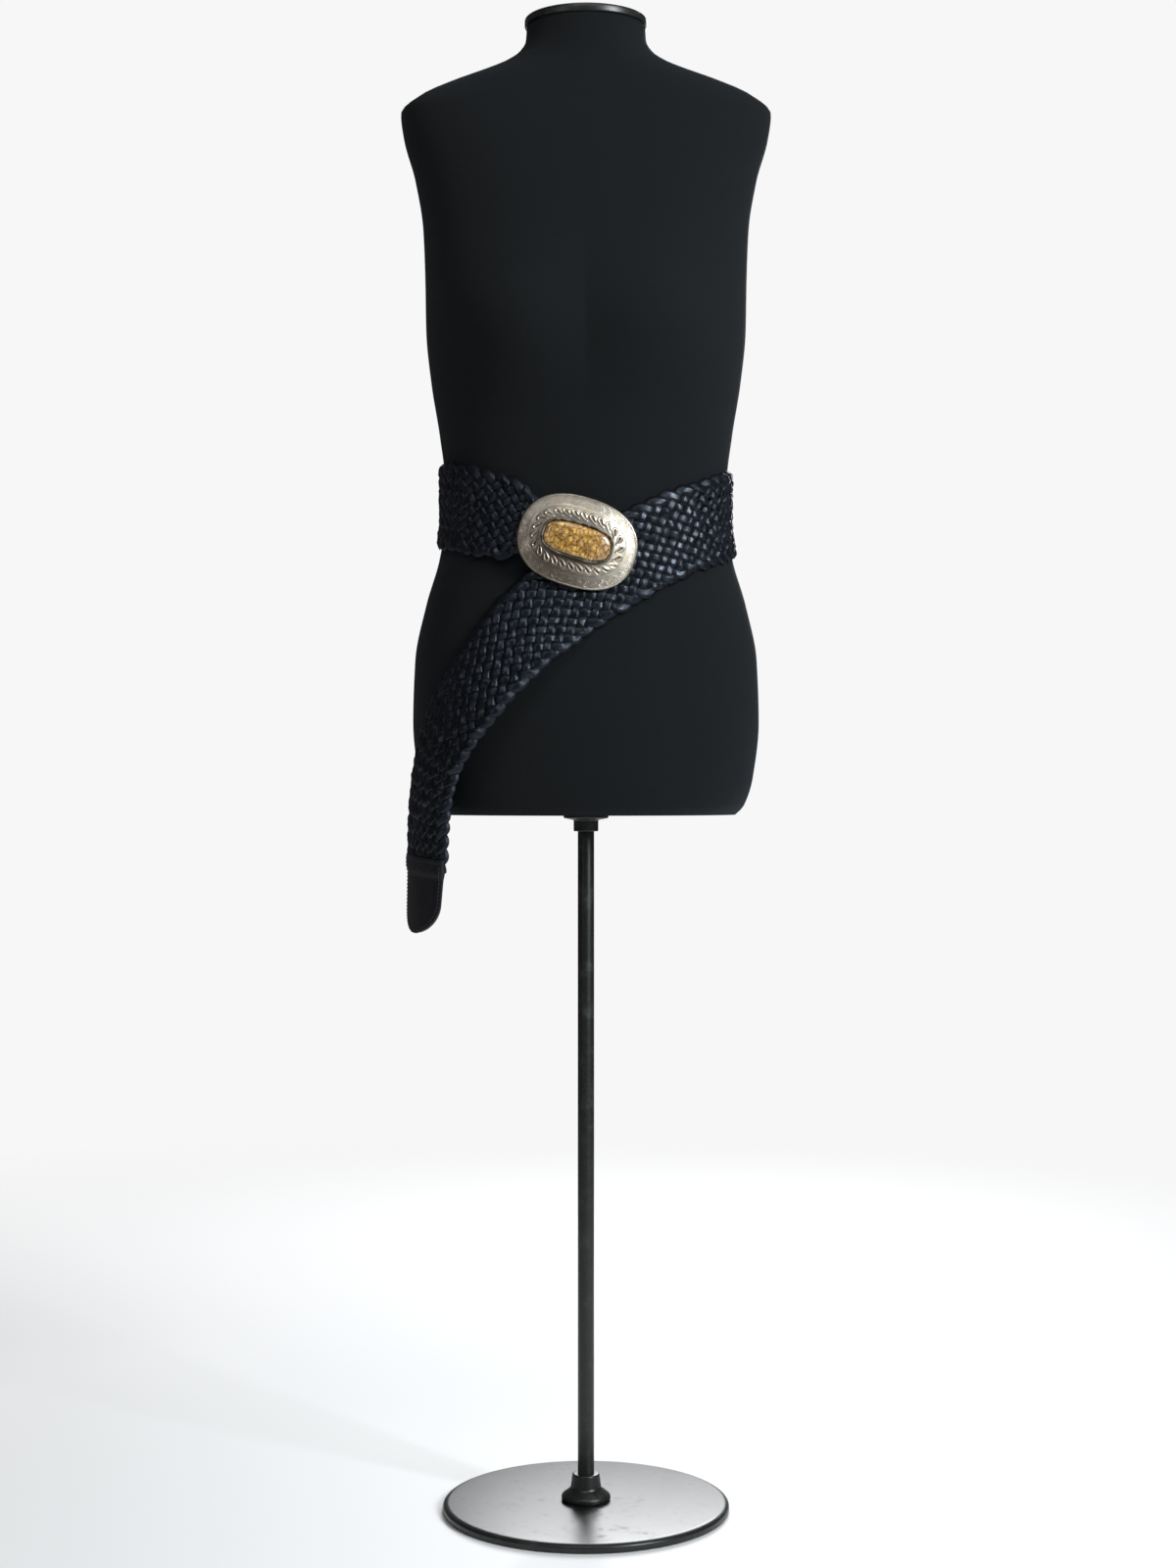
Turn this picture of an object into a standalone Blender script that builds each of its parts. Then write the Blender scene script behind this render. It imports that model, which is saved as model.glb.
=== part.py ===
"""A wide braided leather waist belt with an oval plate buckle, worn on a limbless dress form.

Metres, +Z up. The origin is on the floor at the middle of the form's base, and the form faces -Y.
The belt is one plaited strap: it leaves the buckle on the -X side, goes round the back of the waist,
comes back from +X behind the buckle, and hangs down over the -X hip.
"""
import math

import bmesh
import bpy
import numpy as np

MM = 0.001
GAP = 0.3 * MM  # kept between pieces that touch

# The plait: 14 flat leather strands, each passing over one and under the next.
STRANDS = 14
EDGE_LOOP_PITCH = 14.4 * MM  # from one turned strand to the next along an edge
LATTICE_STEP = EDGE_LOOP_PITCH / 2  # along the strap, from one row of crossings to the next
CROWN_HEIGHT = 4.8 * MM  # top of a strand where it passes over
DIP_HEIGHT = 3.2 * MM  # between four crossings
EDGE_HEIGHT = 2.9 * MM
EDGE_UNDERSIDE = 0.9 * MM
EDGE_NOTCH = 2.6 * MM  # how far the edge draws in between two turned strands
EDGE_INSET = 0.9 * MM  # the next crossings in from each edge draw in by this much
STRAP_MIDDLE = 2.4 * MM  # half way through the strap, from its inner side
STRAP_CLEARANCE = 1.1 * MM  # from the form to the inner side of the strap
INNER_ROWS = 6

# The strap's route. turn: degrees round the form from its front, by way of -X; height: of the centre
# line above the floor; width: edge to edge; lift: extra distance out from the form; tilt: degrees by
# which the lower edge stands off the form, as the free end does where it bends down over the hip.
ROUTE_COLUMNS = ("turn", "height", "width", "lift", "tilt")
ROUTE = (
    (29.0, 0.9515, 0.068, 0.0040, 0.0),
    (37.0, 0.9570, 0.074, 0.0025, 0.0),
    (46.0, 0.9635, 0.078, 0.0010, 0.0),
    (62.0, 0.9725, 0.080, 0.0000, 0.0),
    (90.0, 0.9810, 0.080, 0.0000, 0.0),
    (135.0, 0.9870, 0.080, 0.0000, 0.0),
    (180.0, 0.9900, 0.080, 0.0000, 0.0),
    (225.0, 0.9870, 0.080, 0.0000, 0.0),
    (270.0, 0.9740, 0.080, 0.0000, 0.0),
    (288.0, 0.9650, 0.080, 0.0000, 0.0),
    (308.0, 0.9510, 0.080, 0.0000, 0.0),
    (327.0, 0.9330, 0.080, 0.0000, 0.0),
    (340.0, 0.9195, 0.080, 0.0000, 0.0),
    (353.0, 0.9050, 0.080, 0.0000, 0.0),
    (366.0, 0.8890, 0.080, 0.0000, 0.0),
    (378.0, 0.8730, 0.080, 0.0000, 3.0),
    (389.0, 0.8530, 0.080, 0.0000, 8.0),
    (398.0, 0.8290, 0.080, 0.0000, 13.0),
    (408.5, 0.7960, 0.080, 0.0000, 18.0),
    (418.0, 0.7580, 0.080, 0.0000, 19.0),
    (424.5, 0.7200, 0.080, 0.0005, 17.0),
    (428.5, 0.6750, 0.080, 0.0010, 13.0),
    (430.0, 0.6300, 0.080, 0.0010, 10.0),
)
HANG_HEIGHT = 0.785  # below this the tail hangs straight down instead of following the hip inwards

# The form, as level sections. half_width is along X, front and back are depths along Y from the
# axis, and squareness is the power of the superellipse.
FORM_COLUMNS = ("height", "half_width", "front", "back", "squareness")
FORM = (
    (0.680, 0.146, 0.094, 0.108, 2.10),
    (0.688, 0.154, 0.101, 0.116, 2.10),
    (0.715, 0.163, 0.109, 0.125, 2.10),
    (0.770, 0.169, 0.114, 0.131, 2.15),
    (0.830, 0.167, 0.109, 0.124, 2.15),
    (0.885, 0.156, 0.1035, 0.109, 2.15),
    (0.930, 0.143, 0.1005, 0.098, 2.15),
    (0.965, 0.138, 0.099, 0.095, 2.15),
    (1.005, 0.138, 0.099, 0.096, 2.15),
    (1.050, 0.143, 0.103, 0.103, 2.15),
    (1.100, 0.151, 0.112, 0.110, 2.20),
    (1.150, 0.156, 0.117, 0.113, 2.25),
    (1.200, 0.157, 0.109, 0.112, 2.30),
    (1.250, 0.159, 0.097, 0.107, 2.35),
    (1.300, 0.167, 0.085, 0.099, 2.40),
    (1.340, 0.178, 0.075, 0.089, 2.45),
    (1.364, 0.181, 0.068, 0.080, 2.40),
    (1.381, 0.163, 0.063, 0.073, 2.25),
    (1.394, 0.134, 0.059, 0.068, 2.15),
    (1.404, 0.106, 0.056, 0.063, 2.05),
    (1.413, 0.083, 0.054, 0.058, 2.00),
    (1.423, 0.067, 0.053, 0.054, 2.00),
    (1.436, 0.059, 0.053, 0.051, 2.00),
    (1.450, 0.058, 0.053, 0.050, 2.00),
)
FORM_SIDES = 40
FORM_ROW_SPACING = 40 * MM  # sections further apart than this get one between them
BUST_HEIGHT = 1.145
BUST_TURN = 29.0  # degrees each side of the front
BUST_RISE = 15 * MM
BUST_SPREAD_TURN = 24.0
BUST_SPREAD_HEIGHT = 58 * MM
CAP_OVERHANG = 2 * MM
CAP_PROFILE = (  # (inset from the overhang, rise over the neck's top)
    (0.5 * MM, 0.0 * MM),
    (0.0 * MM, 1.0 * MM),
    (0.0 * MM, 7.0 * MM),
    (2.5 * MM, 9.5 * MM),
    (22.0 * MM, 13.0 * MM),
)
POLE_RADIUS = 8 * MM
COLLAR_RADIUS = 22 * MM
COLLAR_HEIGHT = 16 * MM
COLLAR_PROFILE = ((0.55, 0.0), (0.55, 0.7), (1.0, 0.8), (1.0, 1.0))  # (share of radius, share of height)
BASE_RADIUS = 140 * MM
BASE_THICKNESS = 9 * MM
BASE_PROFILE = ((0.0, 0.0), (0.0, 0.55), (1.0 * MM, 0.85), (3.5 * MM, 1.0))  # (inset, share of height)
HUB_RADIUS = 24 * MM
HUB_HEIGHT = 26 * MM
HUB_PROFILE = ((1.0, 0.0), (1.0, 0.18), (0.60, 0.45), (0.55, 1.0))  # (share of radius, share of height)

# The buckle. Its own frame has x along the plate's length, y up across it and z out of the front.
BUCKLE_X = -8 * MM
BUCKLE_HEIGHT = 0.936
BUCKLE_ROLL = math.radians(17.0)  # its long axis falls towards +X
BUCKLE_STANDOFF = 13.0 * MM  # from the form to the middle of the plate's rim plane
PLATE_HALF_LENGTH = 57.5 * MM
PLATE_HALF_HEIGHT = 42.5 * MM
PLATE_SQUARENESS = 2.35
PLATE_THICKNESS = 1.6 * MM
PLATE_BEND_RADIUS = 230 * MM  # the plate curves round the body along its length
PLATE_SIDES = 72
PLATE_FRONT_SHARES = (0.10, 0.36, 0.52, 0.63, 0.71, 0.80, 0.90, 0.955, 0.985, 1.0)
PLATE_BACK_SHARES = (0.30, 0.60, 0.76, 0.93, 0.985)
STAMP_BAND = (0.63, 0.71)  # shares between which the stamped leaves stand up
STAMP_RISE = 0.6 * MM
STONE_HALF_LENGTH = 31.0 * MM
STONE_HALF_HEIGHT = 14.8 * MM
STONE_SQUARENESS = 2.9
STONE_RISE = 5.4 * MM
STONE_SEAT_GAP = 0.6 * MM
STONE_PROFILE = (  # (share of the outline, share of the rise)
    (0.20, 0.00),
    (0.45, 0.00),
    (0.72, 0.00),
    (1.00, 0.00),
    (1.00, 0.36),
    (0.95, 0.60),
    (0.82, 0.82),
    (0.58, 0.95),
    (0.26, 1.00),
)
BEZEL_WIDTH = 2.8 * MM
BEZEL_RISE = 2.6 * MM
BEZEL_SECTION_POINTS = 6
BEZEL_SINK = 0.4 * MM  # how far below the raised middle the bezel may follow the plate down
# Height of the plate's front over its rim plane, by share of the way from the middle to the rim.
PLATE_PROFILE_COLUMNS = ("share", "rise")
PLATE_PROFILE = (
    (0.00, 5.2 * MM),
    (0.45, 5.1 * MM),
    (0.60, 4.6 * MM),
    (0.68, 3.4 * MM),
    (0.76, 2.5 * MM),
    (0.90, 1.5 * MM),
    (0.96, 1.2 * MM),
    (1.00, 0.0 * MM),
)

# Behind the plate: the folded leather on its bar, the bale's legs, and the stud that hooks the plait.
TAB_START = 1.0 * MM  # from the end of the plait, which the form curves
TAB_THICKNESS = 1.5 * MM
TAB_HALF_WIDTH = 23 * MM
TAB_ARC_POINTS = 12
BAR_OFFSET = 8 * MM  # from the end of the plait to the bar
BAR_RADIUS = 1.6 * MM
BAR_HALF_LENGTH = 26 * MM
BALE_CORNER = 2.2 * MM
HOOK_X = 34 * MM
HOOK_Y = 0.0
HOOK_RADIUS = 2.2 * MM
HOOK_FOOT_RADIUS = 4.5 * MM
HOOK_FOOT_THICKNESS = 1.0 * MM
HOOK_ROUND = 0.9 * MM
HOOK_HOLE_RADIUS = 2.8 * MM
HOOK_TIP_CLEARANCE = 0.6 * MM  # from the stud's tip to the form

# The plain leather tip of the free end.
END_TAB_LENGTH = 62 * MM
END_TAB_THICKNESS = 3.8 * MM
END_TAB_INSET = 1.5 * MM
END_TAB_EDGE_ROUND = 1.0 * MM
END_TAB_ACROSS = 7
END_TAB_ROUND_FROM = 0.5  # share of the tab's length where the tip starts to round off
END_TAB_TIP_SHARE = 0.17  # of the width, left flat at the very tip
END_TAB_ROWS = (0.0, 0.25, 0.5, 0.65, 0.78, 0.88, 0.95, 1.0)


def column(rows, names, name):
    """One named column of a table, as an array."""
    return np.array([row[names.index(name)] for row in rows])


def smooth(xs, ys, x):
    """A smooth curve through the points (xs, ys) that never overshoots them, read at x."""
    step = np.diff(xs)
    slope = np.diff(ys) / step
    tangent = np.zeros(len(xs))
    same_way = slope[:-1] * slope[1:] > 0
    harmonic = 2 * slope[:-1] * slope[1:] / np.where(same_way, slope[:-1] + slope[1:], 1)
    tangent[1:-1] = np.where(same_way, harmonic, 0)
    tangent[0], tangent[-1] = slope[0], slope[-1]
    at = np.clip(np.searchsorted(xs, x, side="right") - 1, 0, len(xs) - 2)
    part = np.clip((x - xs[at]) / step[at], 0, 1)
    return (
        ys[at] * (1 + 2 * part) * (1 - part) ** 2
        + ys[at + 1] * (3 - 2 * part) * part**2
        + step[at] * tangent[at] * part * (1 - part) ** 2
        + step[at] * tangent[at + 1] * (part - 1) * part**2
    )


def form_radius(turn, height):
    """Distance from the form's axis to its skin. turn is in degrees from the front, by way of -X."""
    turn, height = np.broadcast_arrays(np.asarray(turn, float), np.asarray(height, float))
    heights = column(FORM, FORM_COLUMNS, "height")
    level = np.clip(height, heights[0], heights[-1])
    across, front, back, power = (
        smooth(heights, column(FORM, FORM_COLUMNS, name), level)
        for name in ("half_width", "front", "back", "squareness")
    )
    sideways, forwards = np.sin(np.radians(turn)), np.cos(np.radians(turn))
    depth = np.where(forwards > 0, front, back)
    radius = (np.abs(sideways / across) ** power + np.abs(forwards / depth) ** power) ** (-1 / power)
    off_front = np.abs((turn + 180) % 360 - 180)
    bust = np.exp(
        -(((off_front - BUST_TURN) / BUST_SPREAD_TURN) ** 2)
        - ((height - BUST_HEIGHT) / BUST_SPREAD_HEIGHT) ** 2
    )
    return radius + BUST_RISE * bust


def around_form(turn, height, out=0.0):
    """Points at these turns and heights, that far out from the skin that the belt lies on."""
    radius = form_radius(turn, np.maximum(height, HANG_HEIGHT)) + out
    sideways, forwards = np.sin(np.radians(turn)), np.cos(np.radians(turn))
    height = np.broadcast_to(height, radius.shape)
    return np.stack([-radius * sideways, -radius * forwards, height], axis=-1)


def unit(vectors):
    return vectors / np.linalg.norm(vectors, axis=-1, keepdims=True)


def skin_under(points):
    """(points moved straight in or out onto the belt's skin, the skin's outward normals there)."""
    turn = np.degrees(np.arctan2(-points[..., 0], -points[..., 1]))
    height = points[..., 2]
    on_skin = around_form(turn, height)
    small_turn, small_rise = 0.5, 2 * MM
    along = around_form(turn + small_turn, height) - around_form(turn - small_turn, height)
    upward = around_form(turn, height + small_rise) - around_form(turn, height - small_rise)
    return on_skin, unit(np.cross(upward, along))


class Strap:
    """The strap's centre line and frame, and where a point of the flat strap lies on the form."""

    def __init__(self):
        turn, height, width, lift, tilt = (
            column(ROUTE, ROUTE_COLUMNS, name) for name in ROUTE_COLUMNS
        )
        knots = around_form(turn, height)
        steps = np.linalg.norm(np.diff(knots, axis=0), axis=1)
        knot_at = np.concatenate([[0], np.cumsum(steps)])
        fine = np.linspace(0, knot_at[-1], 2400)
        fine_turn, fine_height = smooth(knot_at, turn, fine), smooth(knot_at, height, fine)
        line = around_form(fine_turn, fine_height)
        self.distance = np.concatenate([[0], np.cumsum(np.linalg.norm(np.diff(line, axis=0), axis=1))])
        self.line = line
        self.width = smooth(knot_at, width, fine)
        self.lift = smooth(knot_at, lift, fine)
        self.tilt = np.radians(smooth(knot_at, tilt, fine))
        self.length = self.distance[-1]

    def read(self, values, along):
        """A quantity kept along the fine centre line, read at distances along it."""
        if values.ndim == 1:
            return np.interp(along, self.distance, values)
        return np.stack([np.interp(along, self.distance, one) for one in values.T], axis=-1)

    def point(self, along, across, out):
        """World points. along: metres from the buckle end; across: -1 lower edge to 1 upper edge of
        the left run, as a share of the half width; out: metres over the strap's inner side."""
        along, across, out = np.broadcast_arrays(*(np.asarray(v, float) for v in (along, across, out)))
        inside = np.clip(along, 0, self.length)
        step = 2 * MM
        ahead = self.read(self.line, np.clip(inside + step, 0, self.length))
        behind = self.read(self.line, np.clip(inside - step, 0, self.length))
        forward = unit(ahead - behind)
        centre, normal = skin_under(self.read(self.line, inside))
        sideways = unit(np.cross(forward, normal))
        half = self.read(self.width, inside) / 2
        tilt = self.read(self.tilt, inside)
        aside = (half * np.cos(tilt) * across)[..., None]
        flat = centre + sideways * aside + forward * (along - inside)[..., None]
        on_skin, normal = skin_under(flat)
        lift = self.read(self.lift, inside) + half * np.sin(tilt) * (1 - across)
        return on_skin + normal * (STRAP_CLEARANCE + lift + out)[..., None]


class Frame:
    """A flat frame in space: an origin and three unit directions."""

    def __init__(self, origin, x, y, z):
        self.origin, self.x, self.y, self.z = origin, x, y, z

    def world(self, x, y, z):
        x, y, z = np.broadcast_arrays(*(np.asarray(v, float) for v in (x, y, z)))
        return self.origin + x[..., None] * self.x + y[..., None] * self.y + z[..., None] * self.z

    def local(self, points):
        off = np.asarray(points) - self.origin
        return np.stack([off @ self.x, off @ self.y, off @ self.z], axis=-1)


def buckle_frame():
    roll_cos, roll_sin = math.cos(BUCKLE_ROLL), math.sin(BUCKLE_ROLL)
    depth = float(form_radius(0, BUCKLE_HEIGHT)) + BUCKLE_STANDOFF
    return Frame(
        np.array([BUCKLE_X, -depth, BUCKLE_HEIGHT]),
        np.array([roll_cos, 0.0, -roll_sin]),
        np.array([roll_sin, 0.0, roll_cos]),
        np.array([0.0, -1.0, 0.0]),
    )


def bent(frame, x, y, z):
    """World points of the buckle's own x, y, z, with the plate's bend round the body put in."""
    x, y, z = np.broadcast_arrays(*(np.asarray(v, float) for v in (x, y, z)))
    turn = x / PLATE_BEND_RADIUS
    reach = PLATE_BEND_RADIUS + z
    return frame.world(reach * np.sin(turn), y, reach * np.cos(turn) - PLATE_BEND_RADIUS)


def oval(half_length, half_height, squareness, sides):
    """Points of a superellipse, evenly turned, as two arrays."""
    turn = np.arange(sides) * 2 * math.pi / sides
    c, s = np.cos(turn), np.sin(turn)
    reach = (np.abs(c / half_length) ** squareness + np.abs(s / half_height) ** squareness) ** (
        -1 / squareness
    )
    return reach * c, reach * s


def plate_share(x, y):
    """How far towards the plate's rim a point lies: 0 in the middle, 1 on the rim."""
    power = PLATE_SQUARENESS
    return (
        np.abs(x / PLATE_HALF_LENGTH) ** power + np.abs(y / PLATE_HALF_HEIGHT) ** power
    ) ** (1 / power)


def plate_rise(share):
    """Height of the plate's front over its rim plane."""
    shares = column(PLATE_PROFILE, PLATE_PROFILE_COLUMNS, "share")
    return np.interp(share, shares, column(PLATE_PROFILE, PLATE_PROFILE_COLUMNS, "rise"))


def back_rise(share):
    """Height of the plate's back over its rim plane."""
    shares = np.array(PLATE_BACK_SHARES)
    return np.interp(share, shares, plate_rise(shares) - PLATE_THICKNESS)


def material(name, colour, roughness, metallic=0.0):
    made = bpy.data.materials.get(name) or bpy.data.materials.new(name)
    made.use_nodes = True
    shader = made.node_tree.nodes["Principled BSDF"]
    shader.inputs["Base Color"].default_value = (*colour, 1.0)
    shader.inputs["Roughness"].default_value = roughness
    shader.inputs["Metallic"].default_value = metallic
    return made


def leather():
    return material("black_leather", (0.012, 0.013, 0.020), 0.38)


def silver():
    return material("aged_silver", (0.62, 0.59, 0.53), 0.30, 1.0)


def amber_stone():
    return material("amber_stone", (0.34, 0.19, 0.06), 0.22)


def jersey():
    return material("black_jersey", (0.016, 0.020, 0.023), 0.90)


def black_steel():
    return material("black_steel", (0.030, 0.035, 0.031), 0.45, 0.6)


def add_mesh(name, points, faces, made_of, sharp_angle=40.0):
    """An object from points and faces, with its faces turned outwards and round stretches smooth."""
    mesh = bpy.data.meshes.new(name)
    mesh.from_pydata([tuple(p) for p in points], [], faces)
    work = bmesh.new()
    work.from_mesh(mesh)
    bmesh.ops.recalc_face_normals(work, faces=work.faces)
    work.to_mesh(mesh)
    work.free()
    mesh.shade_smooth()
    mesh.set_sharp_from_angle(angle=math.radians(sharp_angle))
    mesh.materials.append(made_of)
    made = bpy.data.objects.new(name, mesh)
    bpy.context.scene.collection.objects.link(made)
    return made


def loft(name, rows, made_of, closed=False, sharp_angle=40.0):
    """A solid through rows of points that all have the same count. closed joins the last row to the
    first, as on a ring, and otherwise the first and last rows are filled in."""
    sides = len(rows[0])
    count = len(rows)
    faces = []
    for row in range(count if closed else count - 1):
        low, high = row * sides, (row + 1) % count * sides
        for side in range(sides):
            turn = (side + 1) % sides
            faces.append((low + side, low + turn, high + turn, high + side))
    if not closed:
        faces.append(tuple(range(sides)))
        faces.append(tuple(range((count - 1) * sides, count * sides)))
    return add_mesh(name, np.concatenate(rows), faces, made_of, sharp_angle)


def turned(name, profile, sides, made_of, frame=None, closed=False, sharp_angle=40.0):
    """A solid turned about its frame's z, through (radius, height) points. closed makes a ring."""
    frame = frame or Frame(np.zeros(3), *np.eye(3))
    turn = np.arange(sides) * 2 * math.pi / sides
    rows = [frame.world(r * np.cos(turn), r * np.sin(turn), h) for r, h in profile]
    return loft(name, rows, made_of, closed, sharp_angle)


def cut(made, cutter):
    """Takes the cutter out of a solid, and keeps the cutter only as a guide."""
    step = made.modifiers.new("cut", "BOOLEAN")
    step.operation = "DIFFERENCE"
    step.solver = "EXACT"
    step.object = cutter
    cutter.hide_render = True
    cutter.display_type = "WIRE"


def build_strap(strap):
    """The plaited strap: a crown at each crossing and a dip between four, over a plain inside."""
    columns = int(strap.length / LATTICE_STEP)
    along = np.arange(columns + 1) * strap.length / columns
    outer, inner = [], []
    for i, distance in enumerate(along):
        half = float(strap.read(strap.width, distance)) / 2
        across = np.linspace(-1, 1, STRANDS + 1)
        across[1:-1] *= 1 - EDGE_INSET / half
        for edge, side in ((0, -1), (STRANDS, 1)):
            turned_under = (i + edge) % 2 == 1
            across[edge] = side * (1 - turned_under * EDGE_NOTCH / half)
        crown = (i + np.arange(STRANDS + 1)) % 2 == 0
        out = np.where(crown, CROWN_HEIGHT, DIP_HEIGHT)
        out[0] = out[-1] = EDGE_HEIGHT
        outer.append(strap.point(distance, across, out))
        inside = np.linspace(across[0], across[-1], INNER_ROWS)
        under = np.zeros(INNER_ROWS)
        under[0] = under[-1] = EDGE_UNDERSIDE
        inner.append(strap.point(distance, inside, under))
    points = np.concatenate([np.concatenate(outer), np.concatenate(inner)])
    across_count, first_inner = STRANDS + 1, (columns + 1) * (STRANDS + 1)
    faces = []
    for i in range(columns):
        for j in range(STRANDS):
            a, b = i * across_count + j, (i + 1) * across_count + j
            if (i + j) % 2 == 0:  # the fold runs from dip to dip, so that each crown stands alone
                faces += [(a, a + 1, b), (a + 1, b + 1, b)]
            else:
                faces += [(a, a + 1, b + 1), (a, b + 1, b)]
        low, high = first_inner + i * INNER_ROWS, first_inner + (i + 1) * INNER_ROWS
        faces += [(low + k, high + k, high + k + 1, low + k + 1) for k in range(INNER_ROWS - 1)]
        a, b = i * across_count, (i + 1) * across_count
        faces.append((a, b, high, low))
        faces.append((a + STRANDS, low + INNER_ROWS - 1, high + INNER_ROWS - 1, b + STRANDS))
    for i in (0, columns):
        top = [i * across_count + j for j in range(across_count)]
        bottom = [first_inner + i * INNER_ROWS + k for k in range(INNER_ROWS)]
        faces.append(tuple(top + bottom[::-1]))
    return add_mesh("strap", points, faces, leather(), sharp_angle=75)


def build_end_tab(strap):
    """The plain leather tip that the plait's free end is sewn into."""
    half = float(strap.width[-1]) / 2
    rows = []
    for share in END_TAB_ROWS:
        distance = strap.length + GAP + share * END_TAB_LENGTH
        into_round = max(0.0, (share - END_TAB_ROUND_FROM) / (1 - END_TAB_ROUND_FROM))
        reach = max(math.sqrt(1 - into_round**2), END_TAB_TIP_SHARE) * (1 - END_TAB_INSET / half)
        across = np.linspace(-reach, reach, END_TAB_ACROSS)
        half_thickness = np.full(END_TAB_ACROSS, END_TAB_THICKNESS / 2)
        half_thickness[[0, -1]] -= END_TAB_EDGE_ROUND
        outer = strap.point(distance, across, STRAP_MIDDLE + half_thickness)
        inner = strap.point(distance, across, STRAP_MIDDLE - half_thickness)
        rows.append(np.concatenate([outer, inner[::-1]]))
    return loft("end_tab", rows, leather(), sharp_angle=60)


def end_frame(strap):
    """At the strap's buckle end, half way through it: x on towards the buckle, z out."""
    tip, inside = strap.point([0.0, 4 * MM], 0.0, STRAP_MIDDLE)
    upper, lower = strap.point(0.0, [0.5, -0.5], STRAP_MIDDLE)
    x = unit(tip - inside)
    y = unit(upper - lower)
    z = unit(np.cross(x, y))
    if z[1] > 0:
        y, z = -y, -z
    return Frame(tip, x, unit(np.cross(z, x)), z)


def build_buckle_tab(strap):
    """The leather folded round the bale's bar, which joins the strap to the buckle."""
    frame = end_frame(strap)
    ply = TAB_THICKNESS / 2 + GAP / 2
    wrap = BAR_RADIUS + GAP + TAB_THICKNESS / 2
    meet = math.pi - math.asin(ply / wrap)  # where the fold's two plies leave the bar
    turns = np.linspace(meet, -meet, TAB_ARC_POINTS)
    fold = np.stack([BAR_OFFSET + wrap * np.cos(turns), wrap * np.sin(turns)], axis=-1)
    path = np.concatenate([[(TAB_START, ply)], fold, [(TAB_START, -ply)]])
    ahead = unit(np.gradient(path, axis=0))
    ahead[0], ahead[-1] = (1.0, 0.0), (-1.0, 0.0)
    side = np.stack([-ahead[:, 1], ahead[:, 0]], axis=-1) * TAB_THICKNESS / 2
    outline = np.concatenate([path + side, (path - side)[::-1]])
    rows = [frame.world(outline[:, 0], y, outline[:, 1]) for y in (-TAB_HALF_WIDTH, TAB_HALF_WIDTH)]
    return loft("buckle_tab", rows, leather(), sharp_angle=50)


def build_bale(strap, frame):
    """The wire bale: a bar inside the folded leather, with a leg at each end up to the plate."""
    end = end_frame(strap)
    bar = end.world(BAR_OFFSET, [-BAR_HALF_LENGTH, BAR_HALF_LENGTH], 0.0)
    points = []
    for sign, tip in ((-1, bar[0]), (1, bar[1])):
        x, y, z = frame.local(tip)
        around = np.arange(8) * math.pi / 4
        under = min(
            bent_back_height(x + BAR_RADIUS * math.cos(t), y + BAR_RADIUS * math.sin(t)) for t in around
        )
        corner = min(BALE_CORNER, (under - z) / 2)
        leg = [frame.world(x, y, under - GAP), frame.world(x, y, z + corner)]
        inward = frame.world(x, y, z) + (bar[0] - bar[1]) * sign * corner / (2 * BAR_HALF_LENGTH)
        points += [leg[0], leg[1], inward] if sign < 0 else [inward, leg[1], leg[0]]
    curve = bpy.data.curves.new("buckle_bale", "CURVE")
    curve.dimensions = "3D"
    spline = curve.splines.new("POLY")
    spline.points.add(len(points) - 1)
    for knot, point in zip(spline.points, points):
        knot.co = (*point, 1.0)
    curve.bevel_depth = BAR_RADIUS
    curve.bevel_resolution = 2
    curve.use_fill_caps = True
    curve.materials.append(silver())
    made = bpy.data.objects.new("buckle_bale", curve)
    bpy.context.scene.collection.objects.link(made)


def bent_back_height(x, y):
    """Where the plate's underside is along the buckle's z, over a flat point x, y."""
    turn = math.asin(x / PLATE_BEND_RADIUS)
    back = float(back_rise(plate_share(PLATE_BEND_RADIUS * turn, y)))
    return (PLATE_BEND_RADIUS + back) * math.cos(turn) - PLATE_BEND_RADIUS


def hook_frame(frame):
    back = bent_back_height(HOOK_X + HOOK_FOOT_RADIUS, HOOK_Y)
    return Frame(frame.world(HOOK_X, HOOK_Y, back - GAP), frame.x, -frame.y, -frame.z)


def build_hook(frame):
    """The stud on the plate's back that goes through the plait and holds the belt closed."""
    place = hook_frame(frame)
    tip_turn = math.degrees(math.atan2(-place.origin[0], -place.origin[1]))
    skin = -float(form_radius(tip_turn, place.origin[2])) * math.cos(math.radians(tip_turn))
    length = skin - place.origin[1] - HOOK_TIP_CLEARANCE
    profile = (
        (HOOK_FOOT_RADIUS, 0.0),
        (HOOK_FOOT_RADIUS, HOOK_FOOT_THICKNESS),
        (HOOK_RADIUS, HOOK_FOOT_THICKNESS + HOOK_ROUND),
        (HOOK_RADIUS, length - HOOK_ROUND),
        (HOOK_RADIUS - HOOK_ROUND, length),
    )
    turned("buckle_hook", profile, 16, silver(), place)
    return place, length


def cut_hook_hole(made, place, length):
    """The hole that the stud makes between the strands."""
    through = length + HOOK_HOLE_RADIUS  # past the strap's inner side
    profile = ((HOOK_HOLE_RADIUS, HOOK_FOOT_THICKNESS), (HOOK_HOLE_RADIUS, through))
    cutter = turned("hook_hole_guide", profile, 12, silver(), place)
    cut(made, cutter)


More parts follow.
